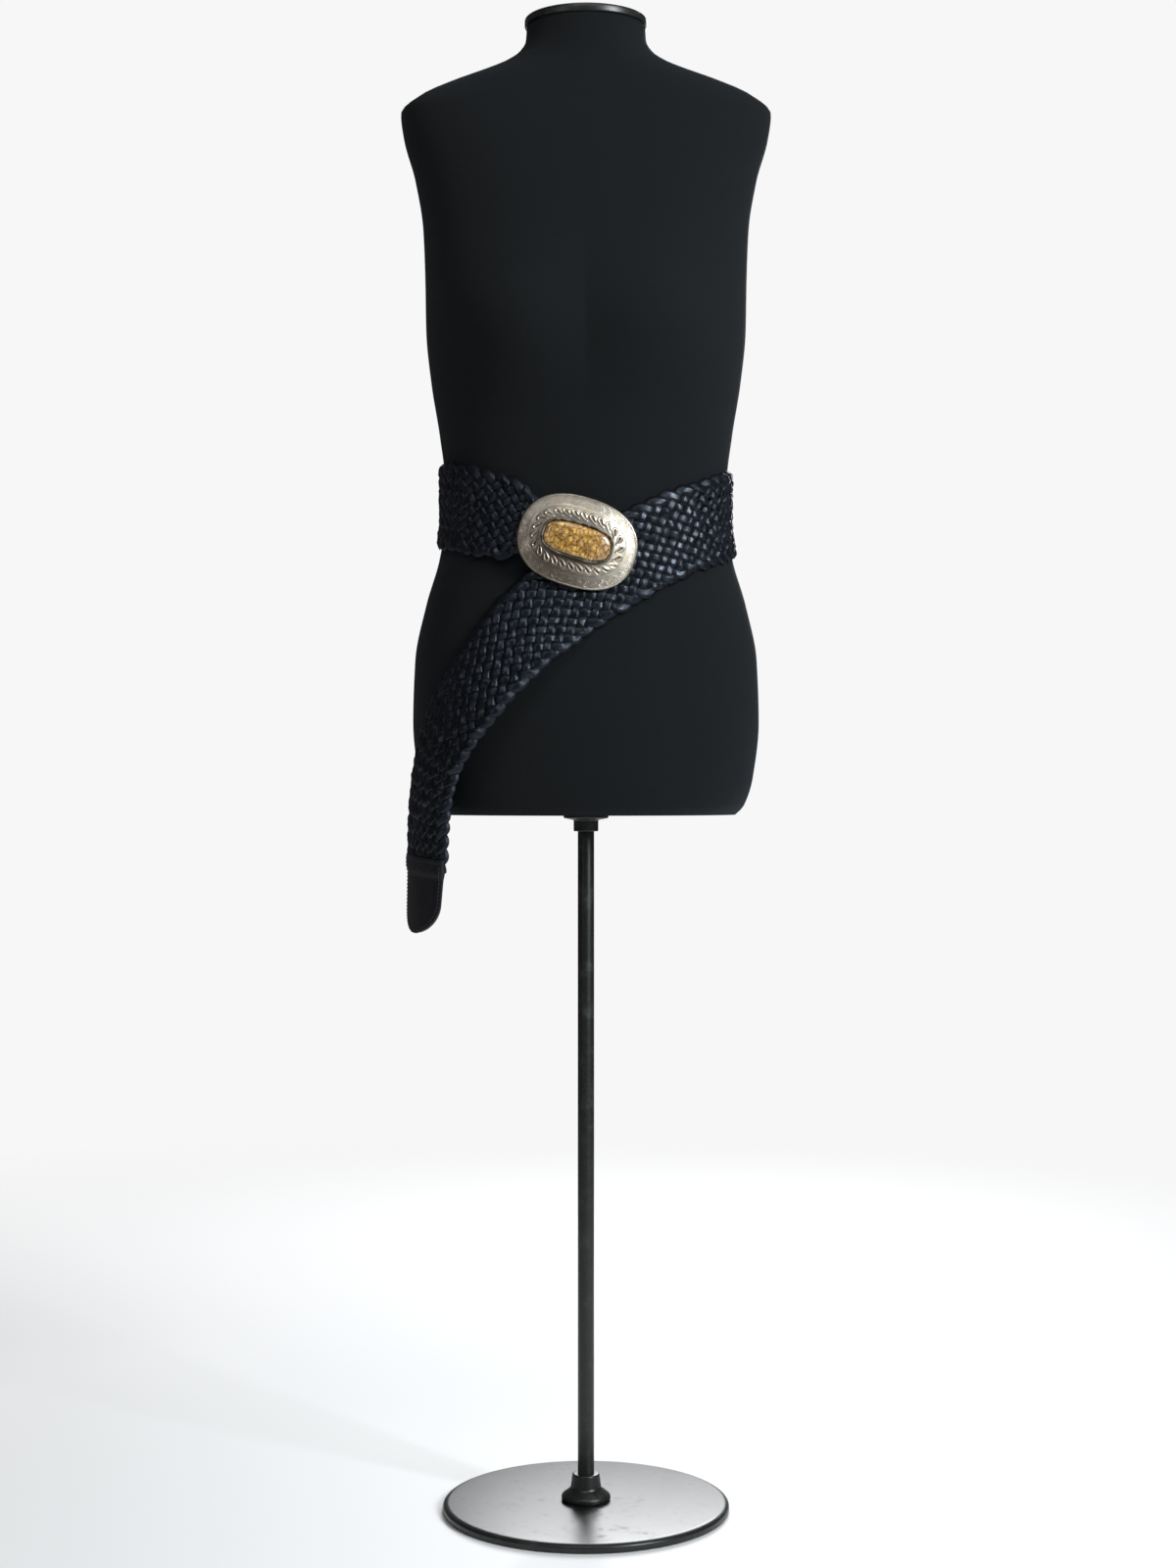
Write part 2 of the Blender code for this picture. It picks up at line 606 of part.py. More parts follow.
def build_plate(frame):
    """The oval plate, with its ring of stamped leaves raised round the stone."""
    unit_x, unit_y = oval(PLATE_HALF_LENGTH, PLATE_HALF_HEIGHT, PLATE_SQUARENESS, PLATE_SIDES)
    stamp = np.where(np.arange(PLATE_SIDES) % 2 == 0, STAMP_RISE, -STAMP_RISE / 2)
    rows = []
    for share in PLATE_FRONT_SHARES:
        rise = float(plate_rise(share)) + (stamp if share in STAMP_BAND else 0.0)
        rows.append(bent(frame, unit_x * share, unit_y * share, rise))
    for share in reversed(PLATE_BACK_SHARES):
        rows.append(bent(frame, unit_x * share, unit_y * share, float(back_rise(share))))
    return loft("buckle_plate", rows, silver(), sharp_angle=50)


def stone_outline(share, outset=0.0, sides=48):
    """The stone's outline, shrunk to a share of itself or set outwards, in the buckle's x and y."""
    half_length = STONE_HALF_LENGTH * share + outset
    half_height = STONE_HALF_HEIGHT * share + outset
    return oval(half_length, half_height, STONE_SQUARENESS, sides)


def build_stone(frame):
    """The polished cabochon, domed over a short upright wall."""
    seat = plate_rise(0.0) + STONE_SEAT_GAP
    rows = []
    for share, part in STONE_PROFILE:
        x, y = stone_outline(share)
        rows.append(bent(frame, x, y, seat + part * STONE_RISE))
    return loft("buckle_stone", rows, amber_stone(), sharp_angle=60)


def build_bezel(frame):
    """The rope edge that holds the stone: a round ring on the plate's raised middle."""
    rows = []
    for step in range(BEZEL_SECTION_POINTS):
        turn = 2 * math.pi * step / BEZEL_SECTION_POINTS
        outset = GAP + BEZEL_WIDTH / 2 * (1 - math.cos(turn))
        x, y = stone_outline(1.0, outset)
        lowest = plate_rise(0.5) - BEZEL_SINK
        floor = np.maximum(plate_rise(plate_share(x, y)) + GAP, lowest)
        rows.append(bent(frame, x, y, floor + BEZEL_RISE / 2 * (1 + math.sin(turn))))
    return loft("buckle_bezel", rows, silver(), closed=True, sharp_angle=80)


def build_form_body():
    """The torso, closed at its underside and at the top of the neck."""
    heights = column(FORM, FORM_COLUMNS, "height")
    between = (heights[:-1] + heights[1:]) / 2
    rows = np.sort(np.concatenate([heights, between[np.diff(heights) > FORM_ROW_SPACING]]))
    turns = np.arange(FORM_SIDES) * 360 / FORM_SIDES
    sections = []
    for height in rows:
        radius = form_radius(turns, height)
        sideways, forwards = np.sin(np.radians(turns)), np.cos(np.radians(turns))
        level = np.full(FORM_SIDES, height)
        sections.append(np.stack([-radius * sideways, -radius * forwards, level], axis=-1))
    return loft("form_body", sections, jersey(), sharp_angle=60)


def build_form_cap():
    """The plain plate that closes the neck."""
    turns = np.arange(FORM_SIDES) * 360 / FORM_SIDES
    neck_top = FORM[-1][0]
    radius = form_radius(turns, neck_top)
    sideways, forwards = np.sin(np.radians(turns)), np.cos(np.radians(turns))
    rows = []
    for inset, rise in CAP_PROFILE:
        reach = radius + CAP_OVERHANG - inset
        level = np.full(FORM_SIDES, neck_top + GAP + rise)
        rows.append(np.stack([-reach * sideways, -reach * forwards, level], axis=-1))
    return loft("form_cap", rows, black_steel(), sharp_angle=50)


def ring_profile(table, radius, foot, height):
    """A ring's section round the pole: its bore, and its outside from a table of shares."""
    bore = POLE_RADIUS + GAP
    outside = [(radius * out, foot + height * up) for out, up in table]
    return [(bore, foot)] + outside + [(bore, foot + height)]


def build_stand():
    """The pole, the collar that holds the form on it, and the round base with its hub."""
    underside = FORM[0][0] - GAP
    foot = BASE_THICKNESS + GAP
    turned("form_pole", ((POLE_RADIUS, foot), (POLE_RADIUS, underside)), 24, black_steel())
    collar = ring_profile(COLLAR_PROFILE, COLLAR_RADIUS, underside - COLLAR_HEIGHT, COLLAR_HEIGHT)
    turned("form_collar", collar, 24, black_steel(), closed=True)
    hub = ring_profile(HUB_PROFILE, HUB_RADIUS, foot, HUB_HEIGHT)
    turned("form_hub", hub, 24, black_steel(), closed=True)
    base = [(BASE_RADIUS - inset, BASE_THICKNESS * up) for inset, up in BASE_PROFILE]
    turned("form_base", base, 56, black_steel(), sharp_angle=50)


def main():
    for old in list(bpy.data.objects):
        bpy.data.objects.remove(old)
    strap = Strap()
    frame = buckle_frame()
    plait = build_strap(strap)
    build_end_tab(strap)
    build_buckle_tab(strap)
    build_bale(strap, frame)
    place, length = build_hook(frame)
    cut_hook_hole(plait, place, length)
    build_plate(frame)
    build_bezel(frame)
    build_stone(frame)
    build_form_body()
    build_form_cap()
    build_stand()


main()
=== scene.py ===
"""The looks of a wide braided leather waist belt with an oval plate buckle, worn on a limbless dress form.

Metres, +Z up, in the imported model's own frame: the form faces -Y and stands on the floor at the origin.
The plait is 14 separate leather strands, each woven over one and under the next along the strap's route.
"""
import math

import bmesh
import bpy
import numpy as np
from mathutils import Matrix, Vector


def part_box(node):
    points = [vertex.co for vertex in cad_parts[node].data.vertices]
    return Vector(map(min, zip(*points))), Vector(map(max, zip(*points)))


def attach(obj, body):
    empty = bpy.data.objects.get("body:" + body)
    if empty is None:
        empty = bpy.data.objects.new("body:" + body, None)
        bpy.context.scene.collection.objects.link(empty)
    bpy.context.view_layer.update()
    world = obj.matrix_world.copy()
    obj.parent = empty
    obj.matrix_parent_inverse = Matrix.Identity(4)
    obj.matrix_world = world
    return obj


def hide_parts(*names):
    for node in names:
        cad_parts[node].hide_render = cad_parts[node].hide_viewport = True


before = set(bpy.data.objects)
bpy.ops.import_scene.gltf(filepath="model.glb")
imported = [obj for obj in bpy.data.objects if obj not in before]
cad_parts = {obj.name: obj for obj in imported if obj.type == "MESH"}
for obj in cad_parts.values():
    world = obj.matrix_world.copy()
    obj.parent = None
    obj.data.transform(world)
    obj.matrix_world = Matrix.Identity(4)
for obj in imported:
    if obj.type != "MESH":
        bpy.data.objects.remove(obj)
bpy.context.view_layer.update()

MM = 0.001
SEED = 11
IMAGE_HEIGHT = 1600  # of the photograph, in pixels

# The strap's route and the form's sections, as in the model's own source.
STRANDS = 14
STRAP_MIDDLE = 2.4 * MM
STRAP_CLEARANCE = 1.1 * MM
EDGE_INSET = 0.9 * MM
LATTICE_STEP = 7.2 * MM
ROUTE_COLUMNS = ("turn", "height", "width", "lift", "tilt")
ROUTE = (
    (29.0, 0.9515, 0.068, 0.0040, 0.0),
    (37.0, 0.9570, 0.074, 0.0025, 0.0),
    (46.0, 0.9635, 0.078, 0.0010, 0.0),
    (62.0, 0.9725, 0.080, 0.0000, 0.0),
    (90.0, 0.9810, 0.080, 0.0000, 0.0),
    (135.0, 0.9870, 0.080, 0.0000, 0.0),
    (180.0, 0.9900, 0.080, 0.0000, 0.0),
    (225.0, 0.9870, 0.080, 0.0000, 0.0),
    (270.0, 0.9740, 0.080, 0.0000, 0.0),
    (288.0, 0.9650, 0.080, 0.0000, 0.0),
    (308.0, 0.9510, 0.080, 0.0000, 0.0),
    (327.0, 0.9330, 0.080, 0.0000, 0.0),
    (340.0, 0.9195, 0.080, 0.0000, 0.0),
    (353.0, 0.9050, 0.080, 0.0000, 0.0),
    (366.0, 0.8890, 0.080, 0.0000, 0.0),
    (378.0, 0.8730, 0.080, 0.0000, 3.0),
    (389.0, 0.8530, 0.080, 0.0000, 8.0),
    (398.0, 0.8290, 0.080, 0.0000, 13.0),
    (408.5, 0.7960, 0.080, 0.0000, 18.0),
    (418.0, 0.7580, 0.080, 0.0000, 19.0),
    (424.5, 0.7200, 0.080, 0.0005, 17.0),
    (428.5, 0.6750, 0.080, 0.0010, 13.0),
    (430.0, 0.6300, 0.080, 0.0010, 10.0),
)
HANG_HEIGHT = 0.785
FORM_COLUMNS = ("height", "half_width", "front", "back", "squareness")
FORM = (
    (0.680, 0.146, 0.094, 0.108, 2.10),
    (0.688, 0.154, 0.101, 0.116, 2.10),
    (0.715, 0.163, 0.109, 0.125, 2.10),
    (0.770, 0.169, 0.114, 0.131, 2.15),
    (0.830, 0.167, 0.109, 0.124, 2.15),
    (0.885, 0.156, 0.1035, 0.109, 2.15),
    (0.930, 0.143, 0.1005, 0.098, 2.15),
    (0.965, 0.138, 0.099, 0.095, 2.15),
    (1.005, 0.138, 0.099, 0.096, 2.15),
    (1.050, 0.143, 0.103, 0.103, 2.15),
    (1.100, 0.151, 0.112, 0.110, 2.20),
    (1.150, 0.156, 0.117, 0.113, 2.25),
    (1.200, 0.157, 0.109, 0.112, 2.30),
    (1.250, 0.159, 0.097, 0.107, 2.35),
    (1.300, 0.167, 0.085, 0.099, 2.40),
    (1.340, 0.178, 0.075, 0.089, 2.45),
    (1.364, 0.181, 0.068, 0.080, 2.40),
    (1.381, 0.163, 0.063, 0.073, 2.25),
    (1.394, 0.134, 0.059, 0.068, 2.15),
    (1.404, 0.106, 0.056, 0.063, 2.05),
    (1.413, 0.083, 0.054, 0.058, 2.00),
    (1.423, 0.067, 0.053, 0.054, 2.00),
    (1.436, 0.059, 0.053, 0.051, 2.00),
    (1.450, 0.058, 0.053, 0.050, 2.00),
)
BUST_HEIGHT = 1.145
BUST_TURN = 29.0
BUST_RISE = 15 * MM
BUST_SPREAD_TURN = 24.0
BUST_SPREAD_HEIGHT = 58 * MM

# The buckle's own frame and outlines: x along the plate, y up across it, z out of the front.
BUCKLE_X = -8 * MM
BUCKLE_HEIGHT = 0.936
BUCKLE_ROLL = math.radians(17.0)
BUCKLE_STANDOFF = 13.0 * MM
PLATE_OVAL = (57.5 * MM, 42.5 * MM, 2.35)  # half length, half height, squareness
PLATE_THICKNESS = 1.6 * MM
PLATE_BEND_RADIUS = 230 * MM
PLATE_PROFILE_COLUMNS = ("share", "rise")
PLATE_PROFILE = (
    (0.00, 5.2 * MM),
    (0.45, 5.1 * MM),
    (0.60, 4.6 * MM),
    (0.68, 3.4 * MM),
    (0.76, 2.5 * MM),
    (0.90, 1.5 * MM),
    (0.96, 1.2 * MM),
    (1.00, 0.0 * MM),
)
STONE_OVAL = (31.0 * MM, 14.8 * MM, 2.9)

# How each strand lies in the plait.
STRAND_WIDTH = 10.4 * MM
STRAND_RISE = 1.30 * MM  # from the middle of a strand up to its crown
# Half of a strand's section, from its underside round its edge to its crown.
STRAND_HALF_COLUMNS = ("side", "up", "shine")
# shine also darkens the leather's colour towards a strand's edges, as painted shade.
STRAND_HALF = (
    (0.88, -0.70, 0.0),
    (1.00, -0.42, 0.0),
    (0.78, -0.16, 0.0),
    (0.65, 0.34, 0.1),
    (0.57, 0.80, 0.7),
    (0.48, 0.95, 1.0),
    (0.24, 1.00, 1.0),
)
STRAND_SWING = 1.15 * MM  # over or under the middle of the strap at a crossing
STRAND_FLATNESS = 0.42  # the power that squares off each rise and fall
SEGMENTS_PER_CROSSING = 6
TURN_ROUNDING = 0.90  # in crossings: how soon before the edge a strand starts to turn back
TURN_ROLL = math.radians(26.0)
TURN_REACH = 0.62  # in crossings: how far from the edge its roll and widening reach
TURN_WIDENING = 0.06
JITTER_SIDE = 0.22 * MM
JITTER_HEIGHT = 0.20 * MM
JITTER_ROLL = math.radians(10.5)
JITTER_WIDTH = 0.05
GATHER = 0.22  # how much narrower the plait is drawn in at its sewn end behind the buckle
GATHER_CROSSINGS = 2.6
TIP_GATHER = 0.08  # and how much narrower where it goes into the leather tip
TIP_GATHER_CROSSINGS = 2.0


def column(rows, names, name):
    """One named column of a table, as an array."""
    return np.array([row[names.index(name)] for row in rows])


def smooth(xs, ys, x):
    """A smooth curve through the points (xs, ys) that never overshoots them, read at x."""
    xs, ys = np.asarray(xs, float), np.asarray(ys, float)
    step = np.diff(xs)
    slope = np.diff(ys) / step
    tangent = np.zeros(len(xs))
    same_way = slope[:-1] * slope[1:] > 0
    harmonic = 2 * slope[:-1] * slope[1:] / np.where(same_way, slope[:-1] + slope[1:], 1)
    tangent[1:-1] = np.where(same_way, harmonic, 0)
    tangent[0], tangent[-1] = slope[0], slope[-1]
    at = np.clip(np.searchsorted(xs, x, side="right") - 1, 0, len(xs) - 2)
    part = np.clip((x - xs[at]) / step[at], 0, 1)
    return (
        ys[at] * (1 + 2 * part) * (1 - part) ** 2
        + ys[at + 1] * (3 - 2 * part) * part**2
        + step[at] * tangent[at] * part * (1 - part) ** 2
        + step[at] * tangent[at + 1] * (part - 1) * part**2
    )


def soft_step(low, high, x):
    """0 up to low, 1 from high, and smooth between."""
    part = np.clip((x - low) / (high - low), 0, 1)
    return part * part * (3 - 2 * part)


def form_radius(turn, height):
    """Distance from the form's axis to its skin. turn is in degrees from the front, by way of -X."""
    turn, height = np.broadcast_arrays(np.asarray(turn, float), np.asarray(height, float))
    heights = column(FORM, FORM_COLUMNS, "height")
    level = np.clip(height, heights[0], heights[-1])
    across, front, back, power = (
        smooth(heights, column(FORM, FORM_COLUMNS, name), level)
        for name in ("half_width", "front", "back", "squareness")
    )
    sideways, forwards = np.sin(np.radians(turn)), np.cos(np.radians(turn))
    depth = np.where(forwards > 0, front, back)
    radius = (np.abs(sideways / across) ** power + np.abs(forwards / depth) ** power) ** (-1 / power)
    off_front = np.abs((turn + 180) % 360 - 180)
    bust = np.exp(
        -(((off_front - BUST_TURN) / BUST_SPREAD_TURN) ** 2)
        - ((height - BUST_HEIGHT) / BUST_SPREAD_HEIGHT) ** 2
    )
    return radius + BUST_RISE * bust


def around_form(turn, height, out=0.0):
    """Points at these turns and heights, that far out from the skin that the belt lies on."""
    radius = form_radius(turn, np.maximum(height, HANG_HEIGHT)) + out
    sideways, forwards = np.sin(np.radians(turn)), np.cos(np.radians(turn))
    height = np.broadcast_to(height, radius.shape)
    return np.stack([-radius * sideways, -radius * forwards, height], axis=-1)


def unit(vectors):
    return vectors / np.linalg.norm(vectors, axis=-1, keepdims=True)


def gone_along(points):
    """The distance from the first point to each point, along them."""
    steps = np.linalg.norm(np.diff(points, axis=0), axis=1)
    return np.concatenate([[0], np.cumsum(steps)])


def skin_under(points):
    """(points moved straight in or out onto the belt's skin, the skin's outward normals there)."""
    turn = np.degrees(np.arctan2(-points[..., 0], -points[..., 1]))
    height = points[..., 2]
    on_skin = around_form(turn, height)
    small_turn, small_rise = 0.5, 2 * MM
    along = around_form(turn + small_turn, height) - around_form(turn - small_turn, height)
    upward = around_form(turn, height + small_rise) - around_form(turn, height - small_rise)
    return on_skin, unit(np.cross(upward, along))


class Strap:
    """The strap's centre line and frame, and where a point of the flat strap lies on the form."""

    def __init__(self):
        turn, height, width, lift, tilt = (
            column(ROUTE, ROUTE_COLUMNS, name) for name in ROUTE_COLUMNS
        )
        knots = around_form(turn, height)
        knot_at = gone_along(knots)
        fine = np.linspace(0, knot_at[-1], 2400)
        fine_turn, fine_height = smooth(knot_at, turn, fine), smooth(knot_at, height, fine)
        self.line = around_form(fine_turn, fine_height)
        self.distance = gone_along(self.line)
        self.width = smooth(knot_at, width, fine)
        self.lift = smooth(knot_at, lift, fine)
        self.tilt = np.radians(smooth(knot_at, tilt, fine))
        self.length = self.distance[-1]
        self.crossings = int(self.length / LATTICE_STEP)

    def read(self, values, along):
        """A quantity kept along the fine centre line, read at distances along it."""
        if values.ndim == 1:
            return np.interp(along, self.distance, values)
        return np.stack([np.interp(along, self.distance, one) for one in values.T], axis=-1)

    def point(self, along, across, out):
        """World points. along: metres from the buckle end; across: -1 lower edge to 1 upper edge of
        the left run, as a share of the half width; out: metres over the strap's inner side."""
        along, across, out = np.broadcast_arrays(*(np.asarray(v, float) for v in (along, across, out)))
        inside = np.clip(along, 0, self.length)
        step = 2 * MM
        ahead = self.read(self.line, np.clip(inside + step, 0, self.length))
        behind = self.read(self.line, np.clip(inside - step, 0, self.length))
        forward = unit(ahead - behind)
        centre, normal = skin_under(self.read(self.line, inside))
        sideways = unit(np.cross(forward, normal))
        half = self.read(self.width, inside) / 2
        tilt = self.read(self.tilt, inside)
        aside = (half * np.cos(tilt) * across)[..., None]
        flat = centre + sideways * aside + forward * (along - inside)[..., None]
        on_skin, normal = skin_under(flat)
        lift = self.read(self.lift, inside) + half * np.sin(tilt) * (1 - across)
        return on_skin + normal * (STRAP_CLEARANCE + lift + out)[..., None]


class Frame:
    """A flat frame in space: an origin and three unit directions."""

    def __init__(self, origin, x, y, z):
        self.origin, self.x, self.y, self.z = origin, x, y, z

    def world(self, x, y, z):
        x, y, z = np.broadcast_arrays(*(np.asarray(v, float) for v in (x, y, z)))
        return self.origin + x[..., None] * self.x + y[..., None] * self.y + z[..., None] * self.z


def buckle_frame():
    roll_cos, roll_sin = math.cos(BUCKLE_ROLL), math.sin(BUCKLE_ROLL)
    depth = float(form_radius(0, BUCKLE_HEIGHT)) + BUCKLE_STANDOFF
    return Frame(
        np.array([BUCKLE_X, -depth, BUCKLE_HEIGHT]),
        np.array([roll_cos, 0.0, -roll_sin]),
        np.array([roll_sin, 0.0, roll_cos]),
        np.array([0.0, -1.0, 0.0]),
    )


def bent(frame_of, x, y, z):
    """World points of the buckle's own x, y, z, with the plate's bend round the body put in."""
    x, y, z = np.broadcast_arrays(*(np.asarray(v, float) for v in (x, y, z)))
    turn = x / PLATE_BEND_RADIUS
    reach = PLATE_BEND_RADIUS + z
    return frame_of.world(reach * np.sin(turn), y, reach * np.cos(turn) - PLATE_BEND_RADIUS)


def angles(sides):
    """One full turn in even steps, in radians."""
    return np.arange(sides) * 2 * math.pi / sides


def oval_share(x, y, half_length, half_height, squareness):
    """How far from an oval's middle towards its outline a point lies: 1 is on the outline."""
    total = np.abs(x / half_length) ** squareness + np.abs(y / half_height) ** squareness
    return total ** (1 / squareness)


def oval(half_length, half_height, squareness, sides):
    """Points of a superellipse, evenly turned, as two arrays."""
    c, s = np.cos(angles(sides)), np.sin(angles(sides))
    reach = 1 / oval_share(c, s, half_length, half_height, squareness)
    return reach * c, reach * s


def plate_rise(share):
    """Height of the plate's front over its rim plane."""
    shares = column(PLATE_PROFILE, PLATE_PROFILE_COLUMNS, "share")
    return smooth(shares, column(PLATE_PROFILE, PLATE_PROFILE_COLUMNS, "rise"), share)


class Graph:
    """The nodes of one material, with short calls for the ones used here."""

    def __init__(self, name):
        self.material = bpy.data.materials.new(name)
        self.material.use_nodes = True
        self.nodes = self.material.node_tree.nodes
        self.links = self.material.node_tree.links
        self.shader = self.nodes["Principled BSDF"]

    def feed(self, socket, value):
        """Links a socket, or sets its value; a colour may leave out its alpha."""
        if isinstance(value, bpy.types.NodeSocket):
            self.links.new(value, socket)
        elif isinstance(value, tuple) and len(value) == 3 and socket.type == "RGBA":
            socket.default_value = (*value, 1.0)
        else:
            socket.default_value = value

    def add(self, kind, inputs=(), **settings):
        node = self.nodes.new("ShaderNode" + kind)
        for name, value in settings.items():
            setattr(node, name, value)
        for name, value in dict(inputs).items():
            self.feed(node.inputs[name], value)
        return node

    def set(self, **values):
        """Shader sockets, named with _ for a space."""
        for name, value in values.items():
            self.feed(self.shader.inputs[name.replace("_", " ")], value)

    def place(self):
        return self.add("TexCoord").outputs["Object"]

    def attribute(self, name):
        return self.add("Attribute", attribute_name=name).outputs["Fac"]

    def noise(self, place, scale, detail=3.0, roughness=0.5, distortion=0.0):
        inputs = {
            "Vector": place, "Scale": scale, "Detail": detail, "Roughness": roughness,
            "Distortion": distortion,
        }
        return self.add("TexNoise", inputs).outputs["Fac"]

    def cells(self, place, scale, feature="F1", randomness=1.0):
        inputs = {"Vector": place, "Scale": scale, "Randomness": randomness}
        return self.add("TexVoronoi", inputs, feature=feature)

    def stretch(self, place, scale):
        return self.add("Mapping", {"Vector": place, "Scale": scale}).outputs["Vector"]

    def math(self, operation, first, second=0.0, third=0.0):
        node = self.add("Math", operation=operation)
        for socket, value in zip(node.inputs, (first, second, third)):
            self.feed(socket, value)
        return node.outputs[0]

    def times(self, first, second):
        return self.math("MULTIPLY", first, second)

    def less(self, first, second):
        return self.math("SUBTRACT", first, second)

    def most(self, first, second):
        return self.math("MAXIMUM", first, second)

    def span(self, value, low, high, to_low=0.0, to_high=1.0, kind="SMOOTHSTEP"):
        inputs = {"Value": value, "From Min": low, "From Max": high, "To Min": to_low, "To Max": to_high}
        return self.add("MapRange", inputs, interpolation_type=kind).outputs["Result"]

    def mix(self, factor, first, second, blend="MIX"):
        node = self.add("Mix", data_type="RGBA", blend_type=blend)
        for index, value in ((0, factor), (6, first), (7, second)):
            self.feed(node.inputs[index], value)
        return node.outputs[2]

    def bump(self, height, distance, strength=1.0, normal=None):
        inputs = {"Height": height, "Distance": distance, "Strength": strength}
        if normal is not None:
            inputs["Normal"] = normal
        return self.add("Bump", inputs).outputs["Normal"]


def leather_look():
    """Black leather with a blue cast: fine pores, shallow creases, crowns worn smooth, and painted shade
    in the plait's dips and along the strands' edges.
    """
    g = Graph("plaited_leather")
    place = g.place()
    pores = g.noise(place, 1500.0, 4.0, 0.6)
    creases = g.noise(place, 520.0, 3.0, 0.55, 0.8)
    patches = g.noise(place, 70.0, 3.0)
    tone = g.attribute("tone")
    crown = g.attribute("crown")
    # Painted shade: the colour is darkest where a strand dips under the next and along its edges, and
    # lighter on worn crowns.
    painted_shade_in_dips = g.mix(tone, (0.0004, 0.0006, 0.0014), (0.0013, 0.0018, 0.0042))
    worn = g.mix(patches, (0.0034, 0.0043, 0.0084), (0.0094, 0.0112, 0.0190))
    crown_wear_and_shade_mask = g.times(g.span(crown, 0.25, 0.9), g.span(patches, 0.38, 0.66))
    smoothed = g.times(g.span(crown, 0.15, 0.85), g.span(tone, 0.0, 1.0, 0.45, 1.0))
    g.set(
        Base_Color=g.mix(crown_wear_and_shade_mask, painted_shade_in_dips, worn),
        Roughness=g.span(smoothed, 0.0, 1.0, 0.50, 0.28),
        Specular_IOR_Level=0.42,
        Specular_Tint=(0.74, 0.85, 1.0, 1.0),
        Normal=g.bump(creases, 0.24 * MM, 0.55, g.bump(pores, 0.08 * MM, 0.65)),
    )
    return g.material


def tab_look():
    """The same leather, smooth and cut plain, for the tip and the fold at the buckle."""
    g = Graph("plain_leather")
    place = g.place()
    pores = g.noise(place, 1700.0, 4.0, 0.6)
    creases = g.noise(place, 180.0, 4.0, 0.55, 1.2)
    g.set(
        Base_Color=g.mix(g.noise(place, 45.0), (0.0030, 0.0036, 0.0062), (0.0080, 0.0092, 0.0140)),
        Roughness=g.span(creases, 0.3, 0.7, 0.48, 0.36),
        Specular_IOR_Level=0.5,
        Normal=g.bump(creases, 0.25 * MM, 0.4, g.bump(pores, 0.06 * MM, 0.6)),
    )
    return g.material


def thread_look():
    g = Graph("waxed_thread")
    twist = g.noise(g.place(), 1300.0, 2.0)
    g.set(
        Base_Color=g.mix(twist, (0.010, 0.011, 0.016), (0.035, 0.037, 0.046)),
        Roughness=0.55,
        Normal=g.bump(twist, 0.08 * MM, 0.8),
    )
    return g.material


SCROLLS_ROUND_BRIM = 40
SCROLL_CELL = 7.1 * MM
SCROLL_LINE_SPACING = 1.5 * MM
SCROLL_RADIUS = 3.4 * MM
SCROLL_WAVER = 0.8 * MM
# How far in from the rim the engraving's middle and the plain lines on both sides of it lie.
BRIM_MIDDLE = 6.0 * MM
BRIM_LINES = (2.1 * MM, 10.3 * MM)
BRIM_LINE_WIDTH = 0.32 * MM
BRIM_FADE = 0.5 * MM


def brim_engraving(g, place):
    """How deeply the brim is cut: a worn scroll in each cell, dots between them, and two plain lines."""
    inset = g.attribute("rim_inset")
    angle = g.math("ARCTAN2", g.attribute("round_y"), g.attribute("round_x"))
    turns = g.times(angle, SCROLLS_ROUND_BRIM / (2 * math.pi))
    other_way = g.math("MULTIPLY_ADD", g.math("PINGPONG", g.math("FLOOR", turns), 1.0), -2.0, 1.0)
    along = g.times(g.less(g.math("FRACT", turns), 0.5), SCROLL_CELL)
    waver = g.span(g.noise(place, 170.0, 2.0), 0.3, 0.7, -SCROLL_WAVER, SCROLL_WAVER, "LINEAR")
    across = g.times(g.math("ADD", g.less(BRIM_MIDDLE, inset), waver), other_way)
    from_eye = g.math("SQRT", g.math("ADD", g.math("POWER", along, 2.0), g.math("POWER", across, 2.0)))
    bearing = g.math("ARCTAN2", across, along)
    winding = g.math("MULTIPLY_ADD", from_eye, 2 * math.pi / SCROLL_LINE_SPACING, bearing)
    in_scroll = g.span(from_eye, SCROLL_RADIUS, SCROLL_RADIUS * 0.86)
    scrolls = g.times(g.span(g.math("COSINE", winding), -0.05, 0.65), in_scroll)
    dots = g.span(g.cells(place, 950.0).outputs["Distance"], 0.48, 0.24)
    matted = g.times(g.math("MULTIPLY_ADD", dots, 0.60, 0.40), g.less(1.0, in_scroll))
    rim_line, inner_line = BRIM_LINES
    past_rim = g.span(inset, rim_line, rim_line + BRIM_FADE)
    on_brim = g.times(past_rim, g.span(inset, inner_line, inner_line - BRIM_FADE))
    off_lines = (g.math("ABSOLUTE", g.less(inset, line)) for line in BRIM_LINES)
    rings = g.most(*(g.span(off, BRIM_LINE_WIDTH, BRIM_LINE_WIDTH / 3) for off in off_lines))
    cut = g.most(g.times(g.most(scrolls, matted), on_brim), rings)
    return g.times(cut, g.span(g.noise(place, 75.0, 4.0, 0.6), 0.34, 0.62, 0.28, 1.0))


